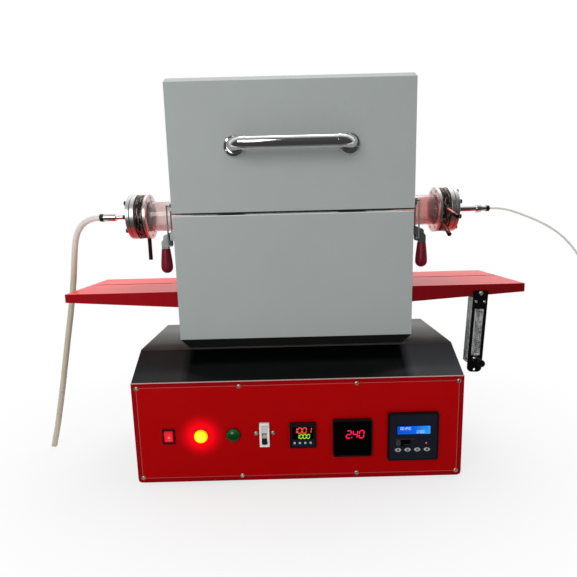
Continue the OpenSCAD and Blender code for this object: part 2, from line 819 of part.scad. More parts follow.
module lid_solid(inset) {
    x0 = lid_l / 2 - inset;
    y0 = lid_d / 2 - inset;
    drop = hip_drop + inset * 0.4;
    intersection() {
        pull_x(-x0, x0) polygon([
            [-y0, lid_z0 + inset], [y0, lid_z0 + inset], [y0, lid_z1 - drop], [y0 - hip_in, lid_z1 - inset],
            [-y0 + hip_in, lid_z1 - inset], [-y0, lid_z1 - drop]]);
        pull_y(-y0, y0) polygon([
            [-x0, lid_z0 + inset], [x0, lid_z0 + inset], [x0, lid_z1 - drop], [x0 - hip_in, lid_z1 - inset],
            [-x0 + hip_in, lid_z1 - inset], [-x0, lid_z1 - drop]]);
    }
}

module lid_shell() color("lightgray") {
    difference() {
        lid_solid(0);
        lid_solid(skin);
        block([-rim_l, -rim_d, lid_z0 - 1], [rim_l, rim_d, lid_z0 + skin + 1]);
        rod_x(-half_l - 5, half_l + 5, notch_r, 0, tube_z);
        for (x = [-1, 1], a = rosette_angles)
            rod_y(-lid_d / 2 - 1, -lid_d / 2 + skin + 1, rosette_screw_r,
                  x * handle_l / 2 + rosette_hole_r * cos(a), handle_z + rosette_hole_r * sin(a));
    }
}

handle_z = tube_z + handle_up;
handle_y = -lid_d / 2 - handle_out;
rosette_hole_r = (rosette_r + handle_r) / 2 + 0.3;
rosette_screw_r = 1.6;
rosette_angles = [90 : 120 : 330];

module lid_handle() color("silver") {
    leg_x = handle_l / 2;
    leg_y = handle_y + elbow_r;
    // Bar, elbows and legs
    rod_x(-leg_x + elbow_r, leg_x - elbow_r, handle_r, handle_y, handle_z);
    for (s = [left, right]) on_side(s) {
        rod_x(leg_x - elbow_r - collar_l, leg_x - elbow_r, handle_r + collar_out, handle_y, handle_z);
        translate([leg_x - elbow_r, leg_y, handle_z]) rotate([0, 0, -90])
            rotate_extrude(angle = 90) translate([elbow_r, 0]) circle(handle_r);
        rod_y(leg_y, -lid_d / 2 - rosette_t, handle_r, leg_x, handle_z);
    }
    // Rosettes with three screw holes each
    for (s = [left, right]) on_side(s) difference() {
        translate([leg_x, -lid_d / 2, handle_z]) rotate([90, 0, 0]) rotate_extrude()
            polygon([
                [0, 0], [rosette_r, 0], [rosette_r, rosette_t * 0.4], [rosette_r - 1.5, rosette_t * 0.75],
                [handle_r + 1.5, rosette_t], [0, rosette_t]]);
        for (a = rosette_angles)
            rod_y(-lid_d / 2 - rosette_t - 1, -lid_d / 2 + 1, rosette_screw_r + 0.2,
                  leg_x + rosette_hole_r * cos(a), handle_z + rosette_hole_r * sin(a));
    }
}

/* Lid hinges */

hinge_y = half_d + hinge_back;
hinge_z = tube_z;
leaf_t = 2;
leaf_h = 34;
knuckle_l = hinge_l / 3;

// One knuckle on the pin, with the arm that joins it to its leaf
module knuckle(x0, x1, arm_y, arm_z0, arm_z1) {
    difference() {
        union() {
            rod_x(x0, x1, knuckle_r, hinge_y, hinge_z);
            block([x0, arm_y, arm_z0], [x1, hinge_y, arm_z1]);
        }
        rod_x(x0 - 1, x1 + 1, hinge_pin_r + run, hinge_y, hinge_z);
    }
}

module lower_hinge_leaves() color("gray") {
    for (s = [-1, 1]) translate([s * hinge_x, 0, 0]) {
        block([-hinge_l / 2, half_d, shell_z1 - leaf_h - 2], [hinge_l / 2, half_d + leaf_t, shell_z1 - 2]);
        for (k = [-1, 1])
            knuckle(k * knuckle_l - knuckle_l / 2 + (k < 0 ? 0 : knuckle_gap),
                    k * knuckle_l + knuckle_l / 2 - (k < 0 ? knuckle_gap : 0),
                    half_d, hinge_z - knuckle_r, hinge_z - knuckle_r + 2.6);
    }
}

module upper_hinge_leaves() color("gray") {
    for (s = [-1, 1]) translate([s * hinge_x, 0, 0]) {
        block([-hinge_l / 2, lid_d / 2, hinge_z + knuckle_r - 1],
              [hinge_l / 2, lid_d / 2 + leaf_t, hinge_z + knuckle_r + leaf_h]);
        knuckle(-knuckle_l / 2 + knuckle_gap / 2, knuckle_l / 2 - knuckle_gap / 2,
                lid_d / 2, hinge_z + knuckle_r - 2.6, hinge_z + knuckle_r);
    }
}

module hinge_pins() color("silver") {
    for (s = [-1, 1]) {
        rod_x(s * hinge_x - hinge_l / 2 - 1, s * hinge_x + hinge_l / 2 + 1, hinge_pin_r, hinge_y, hinge_z);
        for (k = [-1, 1]) {
            end = s * hinge_x + k * (hinge_l / 2 + seat);
            rod_x(end, end + k * 2, hinge_pin_r + 1, hinge_y, hinge_z);
        }
    }
}

/* Latches, drawn on the right-hand side */

pivot_x = half_l + latch_out;
pivot_z = tube_z - latch_down;
trunnion_x = pivot_x - loop_in;
trunnion_z = pivot_z - loop_down;
plate_t = 1.5;
ear_in = 9;
ear_r = 6;
cheek_r = 4.8;
stem_r = 3;
cheek_out = 6.5;
loop_half = 13.5;
lip_out = trunnion_x - wire_r - loop_clear;
bar_z = tube_z + 17.5;
grip_x = half_l + grip_out;
grip_z1 = pivot_z - grip_down;
grip_floor = 11;

module latch_base() {
    difference() {
        union() {
            block([half_l, -latch_y - 12, pivot_z - 18], [half_l + plate_t, -latch_y + 12, shell_z1 - 6]);
            for (s = [-1, 1]) translate([0, -latch_y + s * (ear_in + plate_t / 2), 0]) {
                pull_y(-plate_t / 2, plate_t / 2) polygon([
                    [half_l, pivot_z - ear_r], [pivot_x, pivot_z - ear_r],
                    [pivot_x, pivot_z + ear_r], [half_l, pivot_z + ear_r + 8]]);
                rod_y(-plate_t / 2, plate_t / 2, ear_r, pivot_x, pivot_z);
            }
        }
        rod_y(-latch_y - 20, -latch_y + 20, rivet_r + run, pivot_x, pivot_z);
        for (z = [pivot_z - 12, pivot_z + 24]) rod_x(half_l - 1, half_l + 5, 2.2, -latch_y, z);
    }
    rivet = ear_in + plate_t + 0.8;
    rod_y(-latch_y - rivet, -latch_y + rivet, rivet_r, pivot_x, pivot_z);
}

module latch_bases() color("silver") both_sides() latch_base();

// Two cheeks on the rivet that close into a flat neck, which goes down inside the grip
module latch_lever() {
    neck = 6;
    difference() {
        union() {
            for (s = [-1, 1]) translate([0, -latch_y + s * (cheek_out - plate_t / 2), 0]) {
                pull_y(-plate_t / 2, plate_t / 2) polygon([
                    [pivot_x - cheek_r, pivot_z], [trunnion_x - 4, trunnion_z],
                    [trunnion_x - 2, trunnion_z - 5], [grip_x + neck, trunnion_z - 5],
                    [grip_x + neck, trunnion_z + 4], [pivot_x + cheek_r, pivot_z + 1]]);
                rod_y(-plate_t / 2, plate_t / 2, cheek_r, pivot_x, pivot_z);
            }
            block([grip_x - neck, -latch_y - cheek_out, grip_z1 + seat],
                  [grip_x + neck, -latch_y + cheek_out, trunnion_z - 3]);
            rod_z(grip_z1 - grip_l + grip_floor + 1, grip_z1 + 2, stem_r, grip_x, -latch_y);
        }
        rod_y(-latch_y - 20, -latch_y + 20, rivet_r + run, pivot_x, pivot_z);
        rod_y(-latch_y - 20, -latch_y + 20, wire_r + run, trunnion_x, trunnion_z);
        block([pivot_x - 20, -latch_y - cheek_out + plate_t, pivot_z - loop_down - 2.5],
              [pivot_x + 20, -latch_y + cheek_out - plate_t, pivot_z + 20]);
    }
}

// Dipped soft grip, slim at the top and fat and round at the bottom
module latch_grip() {
    translate([grip_x, -latch_y, grip_z1 - grip_l]) difference() {
        rotate_extrude() polygon([
            for (a = [-90 : 10 : 0]) [grip_r * cos(a), grip_r + grip_r * sin(a)],
            [grip_r * 0.98, grip_l * 0.4], [grip_r * 0.86, grip_l * 0.7],
            [grip_r * 0.72, grip_l], [0, grip_l]]);
        translate([0, 0, grip_floor]) cylinder(r = stem_r + 0.2, h = grip_l);
    }
}

// Bent wire: two legs beside the base's ears, a bar across their tops, and trunnions into the cheeks
module latch_loop() {
    inner = cheek_out - plate_t;
    for (s = [-1, 1]) {
        rod_z(trunnion_z, bar_z, wire_r, trunnion_x, -latch_y + s * loop_half);
        rod_y(-latch_y + s * inner, -latch_y + s * loop_half, wire_r, trunnion_x, trunnion_z);
        for (z = [trunnion_z, bar_z])
            translate([trunnion_x, -latch_y + s * loop_half, z]) sphere(wire_r * 1.15);
    }
    rod_y(-latch_y - loop_half, -latch_y + loop_half, wire_r, trunnion_x, bar_z);
}

module left_latch_lever() color("silver") on_side(left) latch_lever();

module left_latch_grip() color("darkred") on_side(left) latch_grip();

module left_latch_loop() color("silver") on_side(left) latch_loop();

module right_latch_lever() color("silver") on_side(right) latch_lever();

module right_latch_grip() color("darkred") on_side(right) latch_grip();

module right_latch_loop() color("silver") on_side(right) latch_loop();

// Catch plate on the lid with a hooked lug
module latch_catches() color("silver") both_sides() {
    wall = lid_l / 2;
    difference() {
        union() {
            block([wall, -latch_y - 10, lid_z0 + 3], [wall + plate_t, -latch_y + 10, bar_z + 18]);
            translate([0, -latch_y, 0]) pull_y(-8, 8) polygon([
                [wall, bar_z - 9], [lip_out - 2, bar_z - 9], [lip_out, bar_z - 6], [lip_out, bar_z + 3.5],
                [lip_out - 1.8, bar_z + 3.5], [lip_out - 1.8, bar_z - 2.5], [wall + plate_t, bar_z - 2.5],
                [wall, bar_z - 2.5]]);
        }
        rod_x(wall - 1, wall + 5, 2, -latch_y, bar_z + 12);
    }
}

/* End flanges, drawn on the right-hand side */

x_clamp = stack_x + clamp_t;
x_cooler = x_clamp + cooler_t;
x_seal = x_cooler + seal_t;
x_end = x_seal + end_t;
x_thin = x_end + seal_thin;
x_cap = x_thin + cap_t;
tube_bore_r = tube_r + tube_gap;
bolt_hole_r = bolt_r + 0.3;

// Bolt places round the tube: the right-hand ring is turned by half a step
module bolt_ring(turn) {
    for (i = [0 : bolts - 1]) rotate([turn + i * 360 / bolts, 0, 0]) children();
}

// A ring of the stack with its tube bore and its bolt holes
module stack_ring(x0, x1, r, bore, turn) {
    difference() {
        rod_x(x0, x1, r, 0, 0);
        rod_x(x0 - 1, x1 + 1, bore, 0, 0);
        bolt_ring(turn) rod_x(x0 - 1, x1 + 1, bolt_hole_r, bolt_ring_r, 0);
    }
}

module at_tube() {
    translate([0, 0, tube_z]) children();
}

function turn_of(s) = s == left ? 0 : 180 / bolts;

module clamp_rings() color("silver") at_tube() for (s = [left, right]) on_side(s) difference() {
    stack_ring(stack_x, x_clamp, flange_r, tube_bore_r, turn_of(s));
    rod_x(stack_x - 1, stack_x + 1.5, tube_r + 4, 0, 0);
}

module cooling_rings() color("saddlebrown") at_tube() for (s = [left, right]) on_side(s) difference() {
    stack_ring(x_clamp, x_cooler, cooler_r, tube_bore_r, turn_of(s));
    for (i = [1 : grooves]) {
        x = x_clamp + i * cooler_t / (grooves + 1);
        difference() {
            rod_x(x - groove_w / 2, x + groove_w / 2, cooler_r + 1, 0, 0);
            rod_x(x - groove_w, x + groove_w, cooler_r - groove_d, 0, 0);
        }
    }
    on_side(s) for (w = water_runs) aim(w[0], w[1]) cylinder(r = spigot_r + run, h = 12);
}

module flange_seals() color("black") at_tube() for (s = [left, right]) on_side(s) {
    stack_ring(x_cooler, x_seal, flange_r - 1, tube_r - 8, turn_of(s));
    stack_ring(x_end, x_thin, flange_r - 1, 12, turn_of(s));
}

module end_flanges() color("silver") at_tube() for (s = [left, right]) on_side(s)
    stack_ring(x_seal, x_end, flange_r, tube_r - 8, turn_of(s));

module end_caps() color("silver") at_tube() for (s = [left, right]) on_side(s)
    stack_ring(x_thin, x_cap, flange_r - 0.5, gas_stem_r + 0.2, turn_of(s));

module flange_bolts() color("black") at_tube() for (s = [left, right]) on_side(s)
    bolt_ring(turn_of(s)) difference() {
        union() {
            rod_x(stack_x + 0.5, x_cap, bolt_r, bolt_ring_r, 0);
            rod_x(x_cap, x_cap + bolt_head_h, bolt_head_r, bolt_ring_r, 0);
        }
        translate([x_cap + bolt_head_h / 2, bolt_ring_r, 0]) rotate([0, 90, 0])
            cylinder(r = bolt_head_r / 2, h = bolt_head_h, $fn = 6);
    }

// Root and free end of each water tube, from the tube's axis at the furnace's middle
water_mid = x_clamp + cooler_t / 2;
seat_r = cooler_r - 4;
spigot_r = water_r - water_wall / 2;
spigot_l = 6.5;
water_runs = [
    [[-water_mid, 15, 2 - seat_r], [-water_mid, 15, -cooler_r - water_down]],
    [[-water_mid, seat_r - 2, 15], [-water_mid, cooler_r + water_out, 15]],
    [[water_mid + 1, -seat_r, 1], [water_mid + 11.5, 2 - cooler_r - water_out, -14.5]],
    [[water_mid - 2.9, -seat_r * 0.8, -seat_r * 0.65], [water_mid - 1.5, 6 - cooler_r - water_out, -48.5]]
];

// Turns the children, drawn along +Z, to point from one place to another
module aim(from, to) {
    d = to - from;
    translate(from) rotate([0, acos(d.z / norm(d)), atan2(d.y, d.x)]) children();
}

// Each tube's root is turned down to a spigot, which is brazed into its cooling ring
module water_tubes() color("peru") at_tube() for (w = water_runs) aim(w[0], w[1]) difference() {
    union() {
        cylinder(r = spigot_r, h = spigot_l + 1);
        translate([0, 0, spigot_l]) cylinder(r = water_r, h = norm(w[1] - w[0]) - spigot_l);
    }
    translate([0, 0, 1]) cylinder(r = water_r - water_wall, h = norm(w[1] - w[0]));
}

/* Gas fittings */

gas_stem_r = 5.2;
left_stem = x_cap + 33;
left_body = left_stem + 27;
port_left = left_body + 5;
right_stem = x_cap + 49.5;
right_nut = right_stem + 9;
port_right = right_nut + 17;

module gas_ports() color("silver") {
    at_tube() on_side(left) difference() {
        union() {
            rod_x(x_thin + 1, left_stem, 4, 0, 0);
            rod_x(x_thin + 1, x_cap, gas_stem_r, 0, 0);
            rod_x(left_stem, left_body, 7.5, 0, 0);
            rod_x(left_body, port_left, vent_r, 0, 0);
        }
        rod_x(x_thin, port_left + 1, gas_bore_r, 0, 0);
    }
    at_tube() difference() {
        union() {
            rod_x(x_thin + 1, right_stem, gas_stem_r, 0, 0);
            rod_x(right_stem, right_nut, 7.5, 0, 0);
            rod_x(right_nut, port_right, 5, 0, 0);
        }
        rod_x(x_thin, port_right + 1, gas_bore_r, 0, 0);
    }
    // Inlet and outlet at the back of the flow meter
    hung_meter() for (z = [body_top - 12, body_top - meter_body_h + 12]) difference() {
        union() {
            rod_y(block_back, block_back + 8, 5, 0, z);
            rod_y(block_back + 8, block_back + 22, 3, 0, z);
        }
        rod_y(block_back - 1, block_back + 23, 1.5, 0, z);
    }
}

/* Side shelves */

shelf_z = hood_z + shelf_up;
shelf_y = shelf_d / 2;

module side_shelves() color("crimson") both_sides() {
    x0 = half_l;
    difference() {
        pull_y(-shelf_y, shelf_y) polygon([
            [x0, shelf_z], [shelf_x, shelf_z], [shelf_x, shelf_z - lip_tip], [x0, shelf_z - lip_root]]);
        pull_y(-shelf_y + shelf_t, shelf_y - shelf_t) polygon([
            [x0 + shelf_t, shelf_z - shelf_t], [shelf_x - shelf_t, shelf_z - shelf_t],
            [shelf_x - shelf_t, shelf_z - lip_root - 1], [x0 + shelf_t, shelf_z - lip_root - 1]]);
        translate([x0 + slot_in + slot_l / 2, slot_y, shelf_z - shelf_t - 1])
            linear_extrude(height = shelf_t + 2) key_outline(slot_l, slot_w);
        // Hole for the flow meter's screw
        rod_y(-shelf_y - 1, -shelf_y + shelf_t + 1, screw_r + 0.1, meter_x, meter_z);
    }
}

/* Flow meter, drawn about its screw and then hung from it */

meter_x = cab_w / 2 + meter_aside;
meter_z = shelf_z - meter_down;
meter_face = -shelf_y - meter_t;
meter_top = 5;
body_top = -9;
block_back = -shelf_y + block_d;
window_top = -30;
float_low = window_top - window_h + 8;
valve_z = meter_top - meter_h + 26;
body_screw_z = -16;
bore_r = float_r + 0.5;

module hung_meter() {
    translate([meter_x, 0, meter_z]) rotate([0, meter_lean, 0]) children();
}

module meter_plate() color("black") hung_meter() difference() {
    pull_y(meter_face, -shelf_y) translate([0, meter_top - meter_h]) {
        translate([-meter_w / 2, meter_r]) square([meter_w, meter_h - meter_r]);
        translate([-meter_w / 2 + meter_r, 0]) square([meter_w - 2 * meter_r, meter_r]);
        for (x = [-1, 1]) translate([x * (meter_w / 2 - meter_r), meter_r]) circle(meter_r);
    }
    rod_y(meter_face - 1, -shelf_y + 1, screw_r + 0.1, 0, 0);
    for (x = [-1, 1]) rod_y(meter_face - 1, -shelf_y + 1, screw_r + 0.1, x * 8, body_screw_z);
    rod_y(meter_face - 1, -shelf_y + 1, 2.2, 0, meter_top - meter_h + 5);
    rod_y(meter_face - 1, -shelf_y + 1, 3.3, 0, valve_z);
    block([-window_w / 2, meter_face - 1, window_top - window_h], [window_w / 2, -shelf_y + 1, window_top]);
}

module meter_body() color("lightblue") hung_meter() difference() {
    block([-block_w / 2, -shelf_y, body_top - meter_body_h], [block_w / 2, block_back, body_top]);
    rod_z(float_low - float_r - 2, float_low + float_travel + float_r + 2, bore_r, 0, -shelf_y + 9);
    rod_y(-shelf_y - 1, -shelf_y + 12, 3.3, 0, valve_z);
    for (x = [-1, 1]) rod_y(-shelf_y - 1, -shelf_y + 6, screw_r + 0.1, x * 8, body_screw_z);
}

module meter_float() color("black") hung_meter() {
    translate([0, -shelf_y + 9, float_low]) sphere(float_r);
}

// Valve spindle, its neck nut and the ribbed knob, which turn as one
module meter_knob() color("black") hung_meter() {
    rod_y(meter_face - neck_l, -shelf_y + 11, 3, 0, valve_z);
    translate([0, meter_face - neck_l, valve_z]) rotate([90, 0, 0]) linear_extrude(height = knob_l) {
        circle(knob_r - 0.5);
        for (i = [0 : 11]) rotate(i * 30) translate([knob_r - 1, 0]) circle(1, $fn = 16);
    }
}

/* Hoses, swept along points chosen by hand */

vent_r = 6;
line_r = 2;
// Middle line of the vent hose, in X and Z
vent_points = [
    [-394.5, 501.5], [-400, 501.5], [-412, 500], [-424, 495.5], [-434.5, 488], [-443, 477.5], [-449, 464],
    [-453.5, 446], [-457.5, 420], [-461.5, 392], [-466.5, 360], [-472.5, 328], [-479, 295], [-487, 258],
    [-495.5, 218], [-504.5, 175], [-514, 130], [-524, 86], [-534, 44], [-545.5, 1.6]
];
// Middle line of the gas line down to its coil, in X and Z
line_points = [
    [405, 501.5], [416, 501.5], [431, 500], [448, 496.5], [466, 490.5], [484, 483.5], [502, 476], [521, 467],
    [540, 456], [555, 445.5], [569, 433.5], [583, 419], [597, 401], [610, 380], [621, 356], [630, 330],
    [637, 302], [643, 272], [648, 240], [652, 206], [655, 172], [657.5, 138], [660, 104], [663, 72],
    [667.5, 44], [674, 22], [684, 8], [696, 2.5], [708, 2]
];
coil_x = 722;
coil_mid = 24;
coil_cols = 3;
coil_rows = 2;
coil_out = coil_mid + coil_cols * line_r;
coil_in = coil_mid - coil_cols * line_r;

// A closed tube with the given sides round a route that lies in the plane y = 0
function route_dir(p, i) =
    let (a = p[max(i - 1, 0)], b = p[min(i + 1, len(p) - 1)]) (b - a) / norm(b - a);
function route_ring(p, i, r, sides) =
    let (t = route_dir(p, i))
        [for (k = [0 : sides - 1])
            let (c = r * cos(k * 360 / sides), s = r * sin(k * 360 / sides))
                [p[i].x - t.y * c, s, p[i].y + t.x * c]];

module route_tube(p, r, sides) {
    n = len(p);
    points = [for (i = [0 : n - 1]) each route_ring(p, i, r, sides)];
    walls = [for (i = [0 : n - 2], k = [0 : sides - 1])
        [i * sides + k, (i + 1) * sides + k, (i + 1) * sides + (k + 1) % sides, i * sides + (k + 1) % sides]];
    ends = [[for (k = [0 : sides - 1]) k], [for (k = [sides - 1 : -1 : 0]) (n - 1) * sides + k]];
    polyhedron(points = points, faces = concat(walls, ends), convexity = 4);
}

module vent_hose() color("linen") route_tube(vent_points, vent_r, 12);

module gas_line() color("whitesmoke") route_tube(line_points, line_r, 8);

module gas_line_coil() color("whitesmoke")
    translate([coil_x, coil_out - line_r, 0]) rotate_extrude()
        translate([coil_in, 0]) square([coil_out - coil_in, 2 * line_r * coil_rows]);

chassis_tray();
rubber_feet();
hood();
front_panel();
panel_screws();
cable_gland();
switch_frame();
switch_rocker();
red_lamp();
green_lamp();
breaker_body();
breaker_toggle();
temperature_controller();
temperature_key(1);  // temperature_key_1
temperature_key(2);  // temperature_key_2
temperature_key(3);  // temperature_key_3
temperature_key(4);  // temperature_key_4
current_meter();
program_controller();
program_key(1);  // program_key_1
program_key(2);  // program_key_2
program_key(3);  // program_key_3
program_key(4);  // program_key_4
furnace_plinth();
lower_shell();
lower_insulation();
lower_heater();
thermocouple();
quartz_tube();
lid_shell();
upper_insulation();
upper_heater();
lid_handle();
lower_hinge_leaves();
upper_hinge_leaves();
hinge_pins();
latch_bases();
left_latch_lever();
left_latch_grip();
left_latch_loop();
right_latch_lever();
right_latch_grip();
right_latch_loop();
latch_catches();
clamp_rings();
cooling_rings();
flange_seals();
end_flanges();
end_caps();
flange_bolts();
water_tubes();
gas_ports();
side_shelves();
meter_plate();
meter_body();
meter_float();
meter_knob();
vent_hose();
gas_line();
gas_line_coil();
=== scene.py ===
import json
import math

import bmesh
import bpy
from mathutils import Matrix, Vector

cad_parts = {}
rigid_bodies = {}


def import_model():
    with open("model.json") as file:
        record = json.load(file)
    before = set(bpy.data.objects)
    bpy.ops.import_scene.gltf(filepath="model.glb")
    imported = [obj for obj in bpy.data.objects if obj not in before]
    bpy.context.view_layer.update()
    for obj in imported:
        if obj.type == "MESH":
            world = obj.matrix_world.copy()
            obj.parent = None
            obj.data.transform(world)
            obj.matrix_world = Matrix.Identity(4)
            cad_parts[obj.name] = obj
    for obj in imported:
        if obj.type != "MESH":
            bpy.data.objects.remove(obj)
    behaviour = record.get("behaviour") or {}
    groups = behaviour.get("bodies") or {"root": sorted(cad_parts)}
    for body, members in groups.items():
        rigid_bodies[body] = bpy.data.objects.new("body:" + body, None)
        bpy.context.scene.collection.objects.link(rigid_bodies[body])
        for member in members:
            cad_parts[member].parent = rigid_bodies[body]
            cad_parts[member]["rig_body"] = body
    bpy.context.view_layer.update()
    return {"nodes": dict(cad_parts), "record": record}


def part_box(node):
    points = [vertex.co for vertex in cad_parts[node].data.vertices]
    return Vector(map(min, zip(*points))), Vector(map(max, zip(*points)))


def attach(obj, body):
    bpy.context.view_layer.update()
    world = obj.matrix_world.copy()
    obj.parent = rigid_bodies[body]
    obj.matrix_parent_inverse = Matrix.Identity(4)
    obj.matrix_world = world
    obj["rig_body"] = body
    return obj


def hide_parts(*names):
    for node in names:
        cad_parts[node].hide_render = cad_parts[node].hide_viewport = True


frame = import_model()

MM = 0.001
nodes = frame["nodes"]

# Camera
# The photograph was taken from about the height of the furnace's split, 0.92 m in front of the work
# tube, with the camera turned down and tilted a little. Its lens saw 66 degrees across the square.


def stand(name, data):
    """Puts an object with this data in the scene."""
    piece = bpy.data.objects.new(name, data)
    bpy.context.collection.objects.link(piece)
    return piece


eye = Vector((-0.0128, -0.9197, 0.4947))
turn, down, tilt = -0.001, 0.162, 0.025
across = Vector((math.cos(turn), math.sin(turn), 0))
ahead = Vector((-math.sin(turn) * math.cos(down), math.cos(turn) * math.cos(down), -math.sin(down)))
across = (across * math.cos(tilt) + ahead.cross(across) * math.sin(tilt)).normalized()
upwards = across.cross(ahead)
lens = bpy.data.cameras.new("camera")
lens.sensor_width = 36
lens.lens = 27.44
camera = stand("camera", lens)
camera.matrix_world = Matrix.Translation(eye) @ Matrix((across, upwards, -ahead)).transposed().to_4x4()
bpy.context.scene.camera = camera

# Vent hose
# Milky silicone hose of 12 mm, pushed over the end of the left-hand gas port. It hangs down past the
# shelf to the floor and is cut off bare there, as the photograph shows it from end to end.


class Wire:
    """A number or colour inside a material, so that shader maths reads as an expression."""

    def __init__(self, tree, socket):
        self.tree = tree
        self.socket = socket

    def __add__(self, other):
        return compute("ADD", self, other)

    def __radd__(self, other):
        return compute("ADD", other, self)

    def __sub__(self, other):
        return compute("SUBTRACT", self, other)

    def __rsub__(self, other):
        return compute("SUBTRACT", other, self)

    def __mul__(self, other):
        return compute("MULTIPLY", self, other)

    def __rmul__(self, other):
        return compute("MULTIPLY", other, self)

    def __truediv__(self, other):
        return compute("DIVIDE", self, other)

    def __lt__(self, other):
        return compute("LESS_THAN", self, other)

    def __gt__(self, other):
        return compute("GREATER_THAN", self, other)

    def __abs__(self):
        return compute("ABSOLUTE", self)

    def __pow__(self, other):
        return compute("POWER", self, other)

    def at_least(self, other):
        return compute("MAXIMUM", self, other)

    def at_most(self, other):
        return compute("MINIMUM", self, other)

    def sine(self):
        return compute("SINE", self)

    def fade(self, start, end):
        """Goes from 0 to 1 while the value goes from start to end."""
        return ((self - start) / (end - start)).at_least(0).at_most(1)


def compute(operation, *values):
    """A Math node on numbers and wires, one of which at least is a wire."""
    tree = next(value.tree for value in values if isinstance(value, Wire))
    node = tree.nodes.new("ShaderNodeMath")
    node.operation = operation
    for socket, value in zip(node.inputs, values):
        plug(tree, socket, value)
    return Wire(tree, node.outputs[0])


def plug(tree, socket, value):
    """Joins a wire to a socket, or sets the socket to a plain value."""
    if isinstance(value, Wire):
        tree.links.new(value.socket, socket)
    elif socket.type == "RGBA" and len(value) == 3:
        socket.default_value = (*value, 1)
    else:
        socket.default_value = value


class Graph:
    """A node tree being made, for a material or for Geometry Nodes."""

    def __init__(self, tree):
        self.tree = tree

    def add(self, kind, settings=None, inputs=None, output=0):
        node = self.tree.nodes.new(kind)
        for key, value in (settings or {}).items():
            if key == "stops":
                ramp = node.color_ramp.elements
                while len(ramp) < len(value):
                    ramp.new(1)
                for stop, (place, colour) in zip(ramp, value):
                    stop.position = place
                    stop.color = (*colour, 1)
            else:
                setattr(node, key, value)
        for key, value in (inputs or {}).items():
            plug(self.tree, node.inputs[key], value)
        return Wire(self.tree, node.outputs[output])


class Finish(Graph):
    """A material: a Principled shader whose sockets are set by their own names. The colour may be
    mottled and the surface grained, by what those two methods take."""

    def __init__(self, name, sockets, mottle=None, grain=None):
        self.material = bpy.data.materials.new(name)
        self.material.use_nodes = True
        super().__init__(self.material.node_tree)
        self.shader = self.tree.nodes["Principled BSDF"]
        self.set(sockets)
        if mottle:
            self.set({"Base Color": self.mottled(*mottle)})
        if grain:
            self.set({"Normal": self.grained(*grain)})

    def set(self, sockets):
        for key, value in sockets.items():
            plug(self.tree, self.shader.inputs[key], value)

    def place(self, stretch=(1, 1, 1)):
        """Object coordinates, in metres in the part's own frame, stretched along each axis."""
        here = self.add("ShaderNodeTexCoord", output="Object")
        return self.add("ShaderNodeMapping", inputs={"Vector": here, "Scale": stretch})

    def axes(self):
        """The three object coordinates as numbers, in millimetres."""
        split = self.tree.nodes.new("ShaderNodeSeparateXYZ")
        plug(self.tree, split.inputs[0], self.place((1 / MM, 1 / MM, 1 / MM)))
        return [Wire(self.tree, socket) for socket in split.outputs]

    def noise(self, size, detail=3, stretch=(1, 1, 1), rough=0.5):
        """Noise from 0 to 1 whose patches are about the given size in millimetres."""
        return self.add("ShaderNodeTexNoise", inputs={
            "Vector": self.place(stretch), "Scale": 1 / (size * MM), "Detail": detail, "Roughness": rough})

    def mix(self, factor, first, second):
        node = self.tree.nodes.new("ShaderNodeMix")
        node.data_type = "RGBA"
        for socket, value in zip((node.inputs[0], node.inputs[6], node.inputs[7]), (factor, first, second)):
            plug(self.tree, socket, value)
        return Wire(self.tree, node.outputs[2])

    def ramp(self, value, *stops):
        return self.add("ShaderNodeValToRGB", {"stops": stops}, {"Fac": value})

    def bump(self, height, depth):
        """Raises the surface by height times depth, in millimetres."""
        return self.add("ShaderNodeBump", inputs={"Height": height, "Distance": depth * MM})

    def mottled(self, size, first, second, detail=3):
        """A colour between two, in patches of about the given size in millimetres."""
        return self.mix(self.noise(size, detail), first, second)

    def grained(self, size, depth, detail=3, stretch=(1, 1, 1)):
        """A surface with grains of about the given size and depth in millimetres."""
        return self.bump(self.noise(size, detail, stretch), depth)


def hose(name, route, radius, finish):
    """A round hose along a smooth curve through the points of its route."""
    data = bpy.data.curves.new(name, "CURVE")
    data.dimensions = "3D"
    data.bevel_depth = radius
    data.bevel_resolution = 5
    data.resolution_u = 8
    data.use_fill_caps = True
    spline = data.splines.new("BEZIER")
    spline.bezier_points.add(len(route) - 1)
    for point, place in zip(spline.bezier_points, route):
        point.co = place
        point.handle_left_type = "AUTO"
        point.handle_right_type = "AUTO"
    data.materials.append(finish.material)
    return stand(name, data)


silicone = Finish("milky_silicone", {
    "Roughness": 0.38, "Subsurface Weight": 0.35, "Subsurface Radius": (0.9, 0.7, 0.5),
    "Subsurface Scale": 0.004, "Coat Weight": 0.15, "Coat Roughness": 0.3}, grain=(3, 0.12, 2, (1, 1, 0.15)))
x, y, z = silicone.axes()
clear_above, aged_below = 470, 380
aged = silicone.mottled(55, (0.56, 0.48, 0.4), (0.6, 0.58, 0.42), 2)
silicone.set({"Base Color": silicone.mix(z.fade(clear_above, aged_below), (0.76, 0.74, 0.69), aged)})
vent_radius = 6 * MM
vent_points = [
    (-0.3945, 0.5015), (-0.400, 0.5015), (-0.412, 0.500), (-0.424, 0.4955), (-0.4345, 0.488),
    (-0.443, 0.4775), (-0.449, 0.464), (-0.4535, 0.446), (-0.4575, 0.420), (-0.4615, 0.392),
    (-0.4665, 0.360), (-0.4725, 0.328), (-0.479, 0.295), (-0.487, 0.258), (-0.4955, 0.218),
    (-0.5045, 0.175), (-0.514, 0.130), (-0.524, 0.086), (-0.534, 0.044), (-0.5455, 0.0016)]
vent_route = [Vector((x, 0, z)) for x, z in vent_points]
vent_hose = hose("vent_hose_tube", vent_route, vent_radius, silicone)
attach(vent_hose, "root")
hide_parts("vent_hose")

